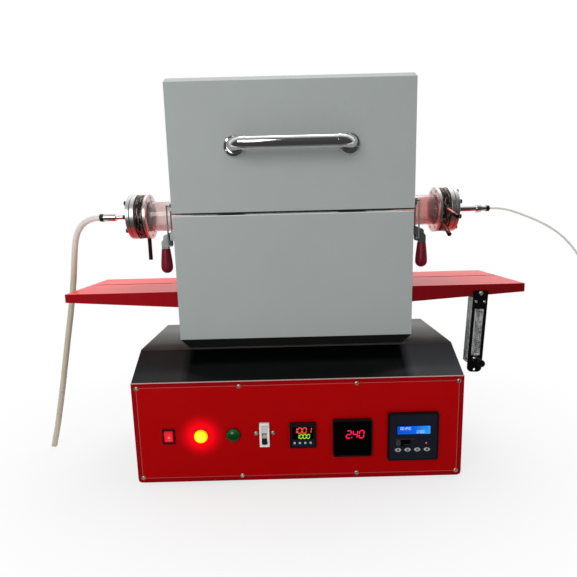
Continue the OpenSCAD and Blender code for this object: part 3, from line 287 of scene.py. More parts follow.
# Gas line
# Translucent white tube of 4 mm in the push-in fitting of the right-hand gas port. It falls in a wide
# arc out of the picture, and the rest lies on the floor as a round coil with its bare end on top.
push_tube = Finish("white_push_in_tube", {
    "Base Color": (0.7, 0.7, 0.69), "Roughness": 0.35, "Specular IOR Level": 0.2}, grain=(2.5, 0.05, 2))
line_points = [
    (0.405, 0.5015), (0.416, 0.5015), (0.431, 0.500), (0.448, 0.4965), (0.466, 0.4905), (0.484, 0.4835),
    (0.502, 0.476), (0.521, 0.467), (0.540, 0.456), (0.555, 0.4455), (0.569, 0.4335), (0.583, 0.419),
    (0.597, 0.401), (0.610, 0.380), (0.621, 0.356), (0.630, 0.330), (0.637, 0.302), (0.643, 0.272),
    (0.648, 0.240), (0.652, 0.206), (0.655, 0.172), (0.6575, 0.138), (0.660, 0.104), (0.663, 0.072),
    (0.6675, 0.044), (0.674, 0.022), (0.684, 0.008), (0.696, 0.0025), (0.708, 0.002)]
line_radius = 2 * MM
coil_centre = Vector((0.722, 0.028, line_radius))
turn_radii = [0.028, 0.024, 0.020, 0.020, 0.024, 0.028]
first_upper_turn = 3
turn_steps = 20
shift_from = 0.75
line_route = [Vector((x, 0, z)) for x, z in line_points]
for turn_number, radius in enumerate(turn_radii):
    following = turn_radii[min(turn_number + 1, len(turn_radii) - 1)]
    rise = 2 * line_radius if turn_number >= first_upper_turn else 0
    next_rise = 2 * line_radius if turn_number + 1 >= first_upper_turn else 0
    for step in range(turn_steps):
        part = max(0.0, (step / turn_steps - shift_from) / (1 - shift_from))
        ease = part * part * (3 - 2 * part)
        angle = -math.pi / 2 + 2 * math.pi * step / turn_steps
        reach = radius + (following - radius) * ease
        lift = rise + (next_rise - rise) * ease
        line_route.append(coil_centre + Vector((reach * math.cos(angle), reach * math.sin(angle), lift)))
gas_line = hose("gas_line_tube", line_route, line_radius, push_tube)
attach(gas_line, "root")
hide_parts("gas_line", "gas_line_coil")

# Rubber feet
# Four turned rubber feet under the corners of the cabinet, held by a screw from inside the tray.


def settle(piece):
    """Turns a piece with live modifiers into a plain mesh."""
    graph = bpy.context.evaluated_depsgraph_get()
    mesh = bpy.data.meshes.new_from_object(piece.evaluated_get(graph), depsgraph=graph)
    piece.modifiers.clear()
    piece.data = mesh
    return piece


def shade(piece, angle=35):
    """Smooth shading, with an edge where faces meet at more than the angle."""
    piece.data.shade_smooth()
    piece.data.set_sharp_from_angle(angle=math.radians(angle))
    return piece


def as_piece(name, mesh, finish, place=Matrix(), smooth=35):
    """Makes an object from a bmesh, put in its place in the part's frame."""
    mesh.transform(place)
    data = bpy.data.meshes.new(name)
    mesh.to_mesh(data)
    mesh.free()
    data.materials.append(finish.material)
    return shade(stand(name, data), smooth)


def fit(piece, body, slot, *replaced):
    """Fixes a finished piece to its body, in place of the solids it stands for. The slot is not used."""
    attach(piece, body)
    if replaced:
        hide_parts(*replaced)


def slot_of(node):
    return next(part["material_slot"] for part in frame["record"]["subparts"] if part["node"] == node)


def dress(node, finish, edge=0.0, rounds=2, reshape=None):
    """Gives a solid its finish, after rounding its edges by the given width in millimetres. A form that
    the solid lacks is made by reshape, which moves each corner of the copy."""
    solid = nodes[node]
    if not edge:
        solid.data.materials.clear()
        solid.data.materials.append(finish.material)
        return
    same_point, flat, sharp = 0.002 * MM, math.radians(0.5), math.radians(35)
    mesh = bmesh.new()
    mesh.from_mesh(solid.data)
    bmesh.ops.remove_doubles(mesh, verts=mesh.verts, dist=same_point)
    bmesh.ops.dissolve_limit(mesh, angle_limit=flat, verts=mesh.verts, edges=mesh.edges)
    if reshape:
        for corner in mesh.verts:
            reshape(corner.co)
    piece = as_piece(node + "_finished", mesh, finish, smooth=40)
    bevel = piece.modifiers.new("edges", "BEVEL")
    bevel.width = edge * MM
    bevel.segments = rounds
    bevel.limit_method = "ANGLE"
    bevel.angle_limit = sharp
    bevel.use_clamp_overlap = False
    piece.modifiers.new("flat_faces", "WEIGHTED_NORMAL").keep_sharp = True
    fit(settle(piece), solid["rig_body"], slot_of(node), node)


foot_rubber = Finish("foot_rubber", {"Base Color": (0.025, 0.025, 0.025), "Roughness": 0.75},
                     grain=(1.2, 0.1))
dress("rubber_feet", foot_rubber)

# Chassis tray
# Folded steel tray that carries everything in the cabinet: floor, front lip and slotted rear wall.
tray_paint = Finish("tray_paint", {"Roughness": 0.42},
                    mottle=(40, (0.085, 0.085, 0.09), (0.12, 0.12, 0.125)), grain=(0.8, 0.05, 2))
dress("chassis_tray", tray_paint, 0.3)

# Hood
# Black folded sheet that covers the cabinet, gloss painted, with dust on its top. Its slope has painted
# shade, darkest in the middle under the furnace, and a painted sheen that makes it lighter on the right.
hood_paint = Finish("hood_black_gloss", {"Specular IOR Level": 0.1, "Roughness": 0.24},
                    grain=(2.2, 0.03, 2))
x, y, z = hood_paint.axes()
dust = hood_paint.noise(60, 4, (1, 0.5, 1), rough=0.6)
dark_half, dark_end, top_skin = 196, 214, 1.5
hood_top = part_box("hood")[1].z / MM
left_grey = hood_paint.mix(dust, (0.02, 0.02, 0.02), (0.034, 0.034, 0.034))
# Painted sheen: the slope's right side is given a lighter grey than its left.
right_dust_and_painted_sheen = hood_paint.mix(dust, (0.043, 0.045, 0.048), (0.066, 0.069, 0.074))
# Painted shade: the middle of the slope, under the furnace, is near black.
slope_painted_shade = hood_paint.mix(abs(x).fade(dark_half, dark_end), (0.0006, 0.0012, 0.0009),
                            hood_paint.mix(x > 0, left_grey, right_dust_and_painted_sheen))
dusty_top = hood_paint.mix(dust, (0.055, 0.051, 0.046), (0.1, 0.092, 0.084))
hood_paint.set({"Base Color": hood_paint.mix(z > hood_top - top_skin, slope_painted_shade, dusty_top)})
dress("hood", hood_paint, 0.6, rounds=3)

# Front panel
# Steel plate, red enamelled, with rounded lower corners, a painted highlight along its top edge and a
# thin pale line printed round it through the screws. Round the lit lamp the enamel has a painted red glow.


def middle(node):
    low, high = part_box(node)
    return (low + high) / 2


def distance(a, b):
    """How far a place lies from an axis, by its two offsets from it."""
    return (a ** 2 + b ** 2) ** 0.5


panel_low, panel_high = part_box("front_panel")
panel_centre = (panel_low + panel_high) / 2 / MM
panel_half = (panel_high - panel_low) / 2 / MM
panel_top = panel_high.z / MM
line_inset, line_half, top_highlight_depth = 9, 0.5, 0.9
glow_end, glow_full, glow_fall = 46, 16, 1.8
lamp = middle("red_lamp") / MM
enamel = Finish("panel_red_enamel", {
    "Roughness": 0.36, "Specular IOR Level": 0.04, "Emission Strength": 1.0}, grain=(3.5, 0.02, 2))
x, y, z = enamel.axes()
past_side = abs(x - panel_centre.x) - (panel_half.x - line_inset)
past_end = abs(z - panel_centre.z) - (panel_half.z - line_inset)
past_line = past_side.at_least(past_end)
printed_line = abs(past_line) < line_half
red = enamel.mottled(140, (0.36, 0.0002, 0.0008), (0.42, 0.0004, 0.0014))
rim_red = enamel.mix((past_line > 0) * 0.5, red, (0.16, 0.0005, 0.004))
lined_red = enamel.mix(printed_line * 0.3, rim_red, (0.7, 0.25, 0.22))
# Painted glow: the enamel itself emits red light round the lamp.
glow = distance(x - lamp.x, z - lamp.z).fade(glow_end, glow_full) ** glow_fall
# Painted highlight: a pale strip along the panel's top edge.
enamel.set({
    "Base Color": enamel.mix(z > panel_top - top_highlight_depth, lined_red, (0.62, 0.42, 0.4)),
    "Emission Color": enamel.mix(glow, (0, 0, 0), (0.9, 0.0, 0.009))})
dress("front_panel", enamel, 0.6)

# Screws
# Domed cross-head screws of plated steel: eight round the panel, two beside the breaker and one at
# the top of the flow meter. Each is a copy of one head, turned at random.


def lathe(profile, ring=32):
    """A mesh turned about Z from (radius, height) points in millimetres, both ends on the axis."""
    mesh = bmesh.new()
    rows = []
    for radius, height in profile:
        count = 1 if radius == 0 else ring
        rows.append([mesh.verts.new((
            radius * MM * math.cos(2 * math.pi * k / ring), radius * MM * math.sin(2 * math.pi * k / ring),
            height * MM)) for k in range(count)])
    for low, high in zip(rows, rows[1:]):
        for k in range(ring):
            corners = [low[k % len(low)], low[(k + 1) % len(low)],
                       high[(k + 1) % len(high)], high[k % len(high)]]
            corners = [v for i, v in enumerate(corners) if v not in corners[:i]]
            if len(corners) > 2:
                mesh.faces.new(corners)
    bmesh.ops.recalc_face_normals(mesh, faces=mesh.faces)
    return mesh


def dome(radius, top, step, base=0.0):
    """The profile of a dome from its rim to its top, with a point every so many degrees."""
    angles = [math.radians(a) for a in range(0, 90, step)]
    return [(radius * math.cos(a), base + (top - base) * math.sin(a)) for a in angles] + [(0, top)]


def facing(direction, place):
    """The matrix that turns +Z to the direction and moves to the place."""
    return Matrix.Translation(place) @ Vector(direction).to_track_quat("Z", "Y").to_matrix().to_4x4()


plated = Finish("bright_plated_steel", {"Metallic": 1.0}, grain=(1.2, 0.02, 2))
tarnish = plated.noise(9, 4)
plated.set({
    "Base Color": plated.mix(tarnish, (0.74, 0.69, 0.62), (0.42, 0.38, 0.33)),
    "Roughness": 0.22 + tarnish * 0.22})


def screw_head(radius):
    """A domed head with a cross recess, standing on the plane Z = 0."""
    rise, root = radius * 0.55, -0.3
    arm_length, arm_width = radius * 1.15, radius * 0.24
    profile = [(0, root), (radius, root)] + dome(radius, rise, 15)
    head = as_piece("screw_head", lathe(profile, 20), plated)
    cross = bmesh.new()
    for quarter in (0, math.pi / 2):
        size = Matrix.Diagonal((arm_length * MM, arm_width * MM, rise * MM, 1))
        lift = Matrix.Translation((0, 0, rise * MM))
        bmesh.ops.create_cube(cross, size=1, matrix=lift @ Matrix.Rotation(quarter, 4, "Z") @ size)
    cutter = as_piece("screw_cross", cross, plated)
    cut = head.modifiers.new("cross", "BOOLEAN")
    cut.object = cutter
    cut.operation = "DIFFERENCE"
    cut.use_self = True
    shade(settle(head))
    bpy.data.objects.remove(cutter)
    return head


def start_tree(name, sizes):
    """Starts a Geometry Nodes tree with named inputs. Gives its graph and a wire from each input."""
    tree = bpy.data.node_groups.new(name, "GeometryNodeTree")
    tree.interface.new_socket("Geometry", in_out="INPUT", socket_type="NodeSocketGeometry")
    for label, kind in sizes.items():
        tree.interface.new_socket(label, in_out="INPUT", socket_type=kind)
    tree.interface.new_socket("Geometry", in_out="OUTPUT", socket_type="NodeSocketGeometry")
    source = tree.nodes.new("NodeGroupInput")
    return Graph(tree), [Wire(tree, socket) for socket in source.outputs[:len(sizes) + 1]]


def end_tree(graph, shape, finish):
    """Ends a Geometry Nodes tree in one real mesh that has its finish."""
    real = graph.add("GeometryNodeRealizeInstances", inputs={"Geometry": shape})
    done = graph.add("GeometryNodeSetMaterial", inputs={"Geometry": real, "Material": finish})
    plug(graph.tree, graph.tree.nodes.new("NodeGroupOutput").inputs[0], done)
    return graph.tree


def scatter_tree(name):
    """Geometry Nodes: puts a copy of an object on each point, facing its own aim, turned at random."""
    graph, (points, part, finish) = start_tree(name, {
        "Part": "NodeSocketObject", "Finish": "NodeSocketMaterial"})
    info = graph.add("GeometryNodeObjectInfo", inputs={"Object": part}, output="Geometry")
    aim = graph.add("GeometryNodeInputNamedAttribute", {"data_type": "FLOAT_VECTOR"}, {"Name": "aim"})
    chance = graph.add("FunctionNodeRandomValue", inputs={2: 0.0, 3: math.pi, "Seed": 7}, output=1)
    about = graph.add("ShaderNodeCombineXYZ", inputs={"Z": chance})
    turned = graph.add("FunctionNodeAlignEulerToVector", {"axis": "Z"}, {"Vector": aim})
    copies = graph.add("GeometryNodeInstanceOnPoints", inputs={
        "Points": points, "Instance": info, "Rotation": turned})
    spun = graph.add("GeometryNodeRotateInstances", inputs={"Instances": copies, "Rotation": about})
    return end_tree(graph, spun, finish)


def grow(name, data, tree, inputs):
    """An object made by a Geometry Nodes tree from the given mesh, as a plain mesh."""
    piece = stand(name, data)
    modifier = piece.modifiers.new(name, "NODES")
    modifier.node_group = tree
    for item in tree.interface.items_tree:
        if item.in_out == "INPUT" and item.name in inputs:
            modifier[item.identifier] = inputs[item.name]
    return settle(piece)


scatter = scatter_tree("scatter_fasteners")


def scatter_on(name, places, part, finish):
    """Copies of a part at (place, aim) pairs."""
    data = bpy.data.meshes.new(name)
    data.from_pydata([place for place, aim in places], [], [])
    aims = data.attributes.new("aim", "FLOAT_VECTOR", "POINT")
    aims.data.foreach_set("vector", [value for place, aim in places for value in aim])
    return shade(grow(name, data, scatter, {"Part": part, "Finish": finish.material}))


front_y = panel_low.y
breaker = middle("breaker_body")
meter_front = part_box("meter_plate")[0].y
meter_screw = Vector((0.351, meter_front, 0.343))
meter_lean = math.radians(2.5)
meter_turn = Matrix.Translation((meter_screw.x, 0, meter_screw.z)) @ Matrix.Rotation(meter_lean, 4, "Y")
to_front, to_back = Vector((0, -1, 0)), Vector((0, 1, 0))


def on_meter(x, y, z):
    """A place on the flow meter, from millimetres beside and above its screw and across the depth."""
    return meter_turn @ Vector((x * MM, y * MM, z * MM))


panel_inset, panel_middle = 0.010, 0.106
breaker_screw_off, breaker_screw_z = 15.4 * MM, 0.105
panel_screws = [
    (Vector((x, front_y, z)), to_front)
    for x in (panel_low.x + panel_inset, -panel_middle, panel_middle, panel_high.x - panel_inset)
    for z in (panel_low.z + panel_inset, panel_high.z - panel_inset)]
panel_screws += [(Vector((breaker.x + side * breaker_screw_off, front_y, breaker_screw_z)), to_front)
                 for side in (-1, 1)]
panel_screws.append((on_meter(0, meter_front / MM, 0), to_front))
large_head = screw_head(4.2)
small_head = screw_head(2.9)
fit(scatter_on("domed_screws", panel_screws, large_head, plated), "root", "zinc", "panel_screws")

# Power switch
# Rocker switch in a black moulded frame. The rocker is red, translucent and lit from inside.
moulded = Finish("black_moulded_plastic", {
    "Base Color": (0.004, 0.004, 0.005), "Roughness": 0.38, "Specular IOR Level": 0.2}, grain=(0.5, 0.02, 2))
frame_plastic = Finish("switch_frame_plastic", {"Roughness": 0.4, "Specular IOR Level": 0.2},
                       mottle=(4, (0.018, 0.0008, 0.002), (0.035, 0.001, 0.004)))
dress("switch_frame", frame_plastic, 0.5)
lit_red = Finish("lit_red_rocker", {
    "Roughness": 0.25, "Base Color": (0.6, 0.01, 0.03), "Subsurface Weight": 0.3, "Specular IOR Level": 0.3,
    "Subsurface Radius": (1, 0.1, 0.1), "Subsurface Scale": 0.003, "Emission Strength": 1.0})
x, y, z = lit_red.axes()
bulb_off, bulb_reach = Vector((0.7, 0, -0.6)), 9
bulb = middle("switch_rocker") / MM + bulb_off
heat = distance(x - bulb.x, z - bulb.z).fade(bulb_reach, 0)
lit_red.set({"Emission Color": lit_red.ramp(
    heat, (0.0, (0.26, 0.0, 0.004)), (0.5, (0.45, 0.001, 0.008)), (0.74, (0.75, 0.012, 0.008)),
    (0.92, (1.0, 0.4, 0.16)), (1.0, (1.0, 0.7, 0.4)))})
dress("switch_rocker", lit_red, 0.4)

# Pilot lamps
# A dark red collar screwed to the panel and a domed lens. The red lamp is lit: it shines yellow up to
# its rim. The green one is dark, so its dome is deep green gloss, painted lighter towards its top as a
# painted highlight.


def turned_piece(name, profile, ring, finish, seat, slot, *replaced, smooth=35):
    """A piece turned on a lathe, standing on its seat."""
    fit(as_piece(name, lathe(profile, ring), finish, seat, smooth), "root", slot, *replaced)


lens_radius, lens_seat = 12.6, 2
lens_top = (panel_low.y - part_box("red_lamp")[0].y) / MM
collar_profile = [(0, -1), (13.6, -1), (13.8, 0), (13.7, 1.2), (13.2, 1.7), (12.7, 1.6), (0, 1.4)]
lens_profile = [(0, 1), (lens_radius, 1)] + dome(lens_radius, lens_top, 6, lens_seat)
collar_red = Finish("lamp_collar", {"Roughness": 0.4, "Specular IOR Level": 0.2},
                    mottle=(3, (0.05, 0.0008, 0.002), (0.1, 0.001, 0.004)))
lit_lens = Finish("lit_lamp_lens", {
    "Base Color": (0.5, 0.3, 0.0), "Roughness": 0.3, "Specular IOR Level": 0.1, "Emission Strength": 1.0})
x, y, z = lit_lens.axes()
to_rim = distance(x - lamp.x, z - lamp.z) / lens_radius
lit_lens.set({"Emission Color": lit_lens.ramp(
    to_rim + lit_lens.noise(3.5, 2) * 0.08, (0.0, (1.0, 0.95, 0.09)), (0.6, (1.0, 0.87, 0.02)),
    (0.93, (1.0, 0.68, 0.01)), (1.0, (0.95, 0.3, 0.0)))})
green_lens = Finish("green_lamp_lens", {"Roughness": 0.12, "Specular IOR Level": 0.45}, grain=(1.6, 0.04, 1))
x, y, z = green_lens.axes()
# Painted highlight: the green dome's colour is lighter towards its top.
green_painted_highlight = z.fade(lamp.z, lamp.z + 12) + green_lens.noise(5, 2) * 0.2
green_lens.set({"Base Color": green_lens.mix(green_painted_highlight, (0.001, 0.028, 0.002), (0.003, 0.11, 0.02))})
for node, lens_finish, slot in (("red_lamp", lit_lens, "red_lens"), ("green_lamp", green_lens, "green_lens")):
    centre = middle(node)
    seat = facing(to_front, (centre.x, front_y, centre.z))
    turned_piece(node + "_collar", collar_profile, 64, collar_red, seat, slot, node)
    turned_piece(node + "_lens", lens_profile, 64, lens_finish, seat, slot, smooth=60)

# Circuit breaker
# One-pole breaker that stands through the panel: white case with a grey field and a grey stripe, and
# a black toggle with a pale upper part.


def outline_block(points, depth, place=Matrix(), chamfer=0.0):
    """A flat outline in X and Z, in millimetres, made a block from Y = 0 towards -Y."""
    mesh = bmesh.new()
    face = mesh.faces.new([mesh.verts.new((px * MM, 0, pz * MM)) for px, pz in points])
    grown = bmesh.ops.extrude_face_region(mesh, geom=[face])["geom"]
    moved = [item for item in grown if isinstance(item, bmesh.types.BMVert)]
    bmesh.ops.translate(mesh, verts=moved, vec=(0, -depth * MM, 0))
    if chamfer:
        tops = [e for e in mesh.edges if all(v in moved for v in e.verts)]
        bmesh.ops.bevel(mesh, geom=tops, offset=chamfer * MM, segments=2, affect="EDGES", profile=0.5)
    bmesh.ops.recalc_face_normals(mesh, faces=mesh.faces)
    mesh.transform(place)
    return mesh


def rounded(width, height, radius, arcs=5):
    """The points of a rectangle with round corners about the origin."""
    points = []
    for quarter, (sx, sz) in enumerate(((1, 1), (-1, 1), (-1, -1), (1, -1))):
        for step in range(arcs + 1):
            angle = math.radians(90 * quarter + 90 * step / arcs)
            points.append((sx * (width / 2 - radius) + radius * math.cos(angle),
                           sz * (height / 2 - radius) + radius * math.sin(angle)))
    return points


def at(x, y, z):
    """A place given in millimetres."""
    return Matrix.Translation((x * MM, y * MM, z * MM))


def flat_piece(name, outline, depth, place, finish, slot, *replaced, body="root", chamfer=0.0):
    """A thin piece cut to an outline, in its place."""
    fit(as_piece(name, outline_block(outline, depth, place, chamfer), finish), body, slot, *replaced)


case_white = Finish("breaker_case", {"Roughness": 0.4},
                    mottle=(20, (0.8, 0.79, 0.77), (0.88, 0.87, 0.85)), grain=(0.8, 0.02, 2))
label_grey = Finish("breaker_label", {"Roughness": 0.5}, mottle=(2, (0.5, 0.5, 0.51), (0.68, 0.68, 0.68), 4))
dress("breaker_body", case_white, 0.6)
toggle_plastic = Finish("breaker_toggle_plastic", {"Roughness": 0.4, "Specular IOR Level": 0.2})
x, y, z = toggle_plastic.axes()
toggle_low, toggle_high = (corner.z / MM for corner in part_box("breaker_toggle"))
black_share = 0.62
pale_from = toggle_low + (toggle_high - toggle_low) * black_share
pale_grey = toggle_plastic.mottled(3, (0.36, 0.36, 0.36), (0.46, 0.46, 0.46))
toggle_plastic.set({"Base Color": toggle_plastic.mix(z > pale_from, (0.004, 0.004, 0.004), pale_grey)})
dress("breaker_toggle", toggle_plastic, 0.4)
breaker_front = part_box("breaker_body")[0].y / MM + 0.05
field_width, field_depth = 12.5, 0.25
for name, height, corner_radius, centre_z in (
        ("breaker_label", 12, 0.8, 113.8), ("breaker_stripe", 1.6, 0.3, 121)):
    flat_piece(name, rounded(field_width, height, corner_radius), field_depth,
               at(breaker.x / MM, breaker_front, centre_z), label_grey, "pale_plastic")

# Instruments
# Temperature controller, current meter and program controller: moulded cases behind square bezels,
# with a glossy front film, lit digits behind it, and keys.
film = Finish("instrument_film", {
    "Base Color": (0.0008, 0.0008, 0.001), "Roughness": 0.12, "Specular IOR Level": 0.1}, grain=(25, 0.02, 2))
navy = Finish("navy_film", {"Roughness": 0.34, "Specular IOR Level": 0.12},
              mottle=(30, (0.008, 0.0105, 0.02), (0.0125, 0.0145, 0.025)), grain=(0.7, 0.015, 2))


def light_finish(name, colour, strength):
    """The finish of a lit digit, whose light varies a little from place to place."""
    finish = Finish(name, {
        "Base Color": tuple(c * 0.2 for c in colour), "Roughness": 0.4, "Specular IOR Level": 0.1,
        "Emission Strength": strength})
    dimmer = tuple(c * 0.8 for c in colour)
    finish.set({"Emission Color": finish.mottled(1.2, dimmer, colour, 1)})
    return finish


def join(mesh, other):
    """Adds one bmesh to another."""
    data = bpy.data.meshes.new("part")
    other.to_mesh(data)
    other.free()
    mesh.from_mesh(data)
    bpy.data.meshes.remove(data)


STROKES = {"a": ((0, 1), (1, 1)), "b": ((1, 1), (1, 0.5)), "c": ((1, 0.5), (1, 0)), "d": ((0, 0), (1, 0)),
           "e": ((0, 0.5), (0, 0)), "f": ((0, 1), (0, 0.5)), "g": ((0, 0.5), (1, 0.5))}
DIGITS = {"0": "abcdef", "1": "bc", "2": "abdeg", "3": "abcdg", "4": "bcfg", "5": "acdfg", "6": "acdefg",
          "7": "abc", "8": "abcdefg", "9": "abcdfg"}


def digits(name, text, height, place, finish, slot, pitch=0.78, stroke=0.13, wide=0.5, slant=0.12):
    """A row of seven-stroke digits whose lower left corner is at the place. The pitch, stroke, width and
    slant are shares of the height."""
    mesh = bmesh.new()
    depth = 0.12
    wide = height * wide
    half = height * stroke / 2
    gap = half * 0.35
    start = 0.0
    for mark in text:
        if mark == ".":
            dot = rounded(half * 2, half * 2, half * 0.6)
            join(mesh, outline_block(dot, depth, at(start - wide * 0.25, 0, half)))
            continue
        for stroke_name in DIGITS[mark]:
            (ax, az), (bx, bz) = STROKES[stroke_name]
            a = Vector((start + ax * wide, az * height))
            b = Vector((start + bx * wide, bz * height))
            along = (b - a).normalized()
            side = Vector((-along.y, along.x)) * half
            a, b = a + along * gap, b - along * gap
            corners = [a, a + along * half + side, b - along * half + side, b,
                       b - along * half - side, a + along * half - side]
            join(mesh, outline_block([(c.x, c.y) for c in corners], depth))
        start += height * pitch
    mesh.transform(Matrix(((1, 0, slant, 0), (0, 1, 0, 0), (0, 0, 1, 0), (0, 0, 0, 1))))
    fit(as_piece(name, mesh, finish, place), "root", slot)


red_light = light_finish("red_digits", (1.0, 0.075, 0.04), 1.15)
pink_light = light_finish("pink_digits", (1.0, 0.015, 0.09), 1.1)
green_light = light_finish("green_digits", (0.42, 1.0, 0.06), 0.95)
pale_light = light_finish("pale_digits", (0.42, 0.72, 1.0), 1.0)
bezel_rim, film_recess, film_depth = 6.4, 0.8, 0.3
face_y = {}
for node, face in (("temperature_controller", navy), ("current_meter", film), ("program_controller", navy)):
    dress(node, moulded, 0.7, rounds=3)
    low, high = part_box(node)
    centre = (low + high) / 2 / MM
    width = (high.x - low.x) / MM - bezel_rim
    film_back = low.y / MM + film_recess
    flat_piece(node + "_film", rounded(width, width, 1.5), film_depth, at(centre.x, film_back, centre.z),
               face, "black_plastic")
    face_y[node] = film_back - film_depth

# Temperature controller
# A black window in the upper part of the film, with a red row of digits in it and a green row below.
small = middle("temperature_controller") / MM
small_face = face_y["temperature_controller"]
window_width, window_height, window_depth, window_up = 39, 24.5, 0.1, 5.6
flat_piece("temperature_window", rounded(window_width, window_height, 1), window_depth,
           at(small.x, small_face, small.z + window_up), film, "black_plastic")
digits("process_value", "1001", 10, at(small.x - 18.4, small_face - window_depth, small.z + 5.5), red_light,
       "black_plastic", pitch=0.88, stroke=0.17, wide=0.66)
digits("set_value", "1000", 7.8, at(small.x - 12.6, small_face - window_depth, small.z - 5), green_light,
       "black_plastic", pitch=0.83, stroke=0.17, wide=0.6)

# Current meter
# One row of large pink-red digits on a black face.
medium = middle("current_meter") / MM
digits("current_value", "2.40", 14.2, at(medium.x - 12, face_y["current_meter"], medium.z + 0.8), pink_light,
       "black_plastic", pitch=0.82, stroke=0.15, wide=0.56)

# Program controller
# A blue lit screen in a black surround with two rows of small pale digits, a flap over a port below it
# on the left, and a round alarm light on the right.
large = middle("program_controller") / MM
large_face = face_y["program_controller"]
screen_blue = Finish("blue_screen", {
    "Base Color": (0.0, 0.02, 0.1), "Roughness": 0.3, "Specular IOR Level": 0.1, "Emission Strength": 1.0})
x, y, z = screen_blue.axes()
screen_width, screen_height, surround, surround_depth, screen_depth = 60, 15.5, 3, 0.15, 0.2
sideways = (x - large.x) / screen_width + 0.5 + screen_blue.noise(14, 2) * 0.3 - 0.15
screen_blue.set({"Emission Color": screen_blue.ramp(
    sideways, (0.0, (0.0, 0.07, 0.56)), (0.55, (0.001, 0.12, 0.72)), (1.0, (0.03, 0.32, 0.95)))})
screen_x, screen_z = large.x + 0.5, large.z + 13.4
flat_piece("screen_surround", rounded(screen_width + surround, screen_height + surround, 1.2),
           surround_depth, at(screen_x, large_face, screen_z), film, "black_plastic")
screen_back = large_face - surround_depth
flat_piece("screen_light", rounded(screen_width, screen_height, 0.8), screen_depth,
           at(screen_x, screen_back, screen_z), screen_blue, "black_plastic")
for name, text, height, row_x, row_z in (("screen_top_row", "1001240", 4.8, -26, 1),
                                         ("screen_lower_row", "01000", 4.6, 6, -5.6)):
    digits(name, text, height, at(large.x + row_x, screen_back - screen_depth, screen_z + row_z), pale_light,
           "black_plastic", pitch=0.62, stroke=0.16, slant=0)
flap_x, flap_z, flap_depth = large.x - 19, large.z - 11, 0.3
flat_piece("port_flap", rounded(27, 13, 1.2), flap_depth, at(flap_x, large_face, flap_z), film,
           "black_plastic", chamfer=0.15)
flap_grey = Finish("port_flap_grey", {"Roughness": 0.4, "Specular IOR Level": 0.3},
                   mottle=(5, (0.03, 0.032, 0.036), (0.05, 0.052, 0.056)))
# The grey strips along the flap's top edge and under the port are painted highlights.
for name, width, height, right, up in (("flap_door", 8.5, 11.5, -8.5, 0), ("flap_edge", 36, 1.1, 4, 7.2),
                                       ("port_lip", 11, 1.3, 7, -3.6)):
    flat_piece(name, rounded(width, height, height * 0.2), 0.25,
               at(flap_x + right, large_face - flap_depth, flap_z + up), flap_grey, "black_plastic",
               chamfer=0.1)
alarm_light = light_finish("alarm_light", (1.0, 0.1, 0.25), 0.8)
alarm_seat = facing(to_front, Vector((large.x + 23.4, large_face, large.z - 12)) * MM)
alarm_profile = [(0, 0.2), (1.7, 0.2), (1.5, 0.9), (0.9, 1.2), (0, 1.3)]
alarm_ring_profile = [(0, 0), (3.4, 0), (3.4, 0.3), (2.6, 0.5), (0, 0.3)]
turned_piece("alarm_ring", alarm_ring_profile, 24, frame_plastic, alarm_seat, "black_plastic")
turned_piece("alarm_light", alarm_profile, 20, alarm_light, alarm_seat, "black_plastic")

# Keys
# Small round keys under the temperature window, and silver keys shaped like an eye under the blue
# screen, each with an arrow.
key_pale = Finish("pale_key", {"Roughness": 0.45, "Specular IOR Level": 0.3},
                  mottle=(2, (0.5, 0.56, 0.6), (0.66, 0.72, 0.76)))
key_silver = Finish("silver_key", {"Metallic": 0.3, "Roughness": 0.4},
                    mottle=(3, (0.5, 0.5, 0.5), (0.66, 0.66, 0.66)), grain=(0.6, 0.02))


def arrow(pointing, size):
    """A small triangle about the origin that points the given way, in degrees."""
    return [(size * math.cos(math.radians(pointing + a)), size * math.sin(math.radians(pointing + a)))
            for a in (0, 125, 235)]


def eye_shape(width, height, steps=8):
    """The points of two arcs that meet in a point at the left and at the right."""
    radius = (width ** 2 + height ** 2) / (4 * height)
    half = math.asin(width / 2 / radius)
    arc = [(radius * math.sin(a), radius * math.cos(a) + height / 2 - radius)
           for a in (half - 2 * half * k / steps for k in range(steps + 1))]
    return arc + [(-px, -pz) for px, pz in arc[1:-1]]


print_depth, disc_width = 0.1, 4.6
for number, pointing in enumerate((180, 270, 90, 0), 1):
    node = "temperature_key_%d" % number
    dress(node, key_pale, 0.2)
    spot = middle(node) / MM
    flat_piece(node + "_arrow", arrow(pointing, 1.15), 0.12, at(spot.x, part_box(node)[0].y / MM, spot.z),
               moulded, "pale_plastic", body=node)
    node = "program_key_%d" % number
    low, high = (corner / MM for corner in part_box(node))
    spot = (low + high) / 2
    flat_piece(node + "_cap", eye_shape(high.x - low.x, high.z - low.z - 0.2), high.y - low.y,
               at(spot.x, high.y, spot.z), key_silver, "key_silver", node, body=node, chamfer=0.25)
    flat_piece(node + "_disc", rounded(disc_width, disc_width, 2.2), print_depth,
               at(spot.x, low.y, spot.z), moulded, "key_silver", body=node)
    flat_piece(node + "_arrow", arrow(pointing, 1.4), print_depth, at(spot.x, low.y - print_depth, spot.z),
               key_silver, "key_silver", body=node)

# Furnace plinth
# Folded and flared sheet under the furnace, standing on the hood. Its near-black colour is painted
# shade, for the shadow under the lower shell's overhang.
plinth_painted_shade = Finish("plinth_black", {"Roughness": 0.4, "Specular IOR Level": 0.3},
                      mottle=(50, (0.006, 0.006, 0.006), (0.014, 0.014, 0.014)), grain=(1.1, 0.05))
dress("furnace_plinth", plinth_painted_shade, 0.5)
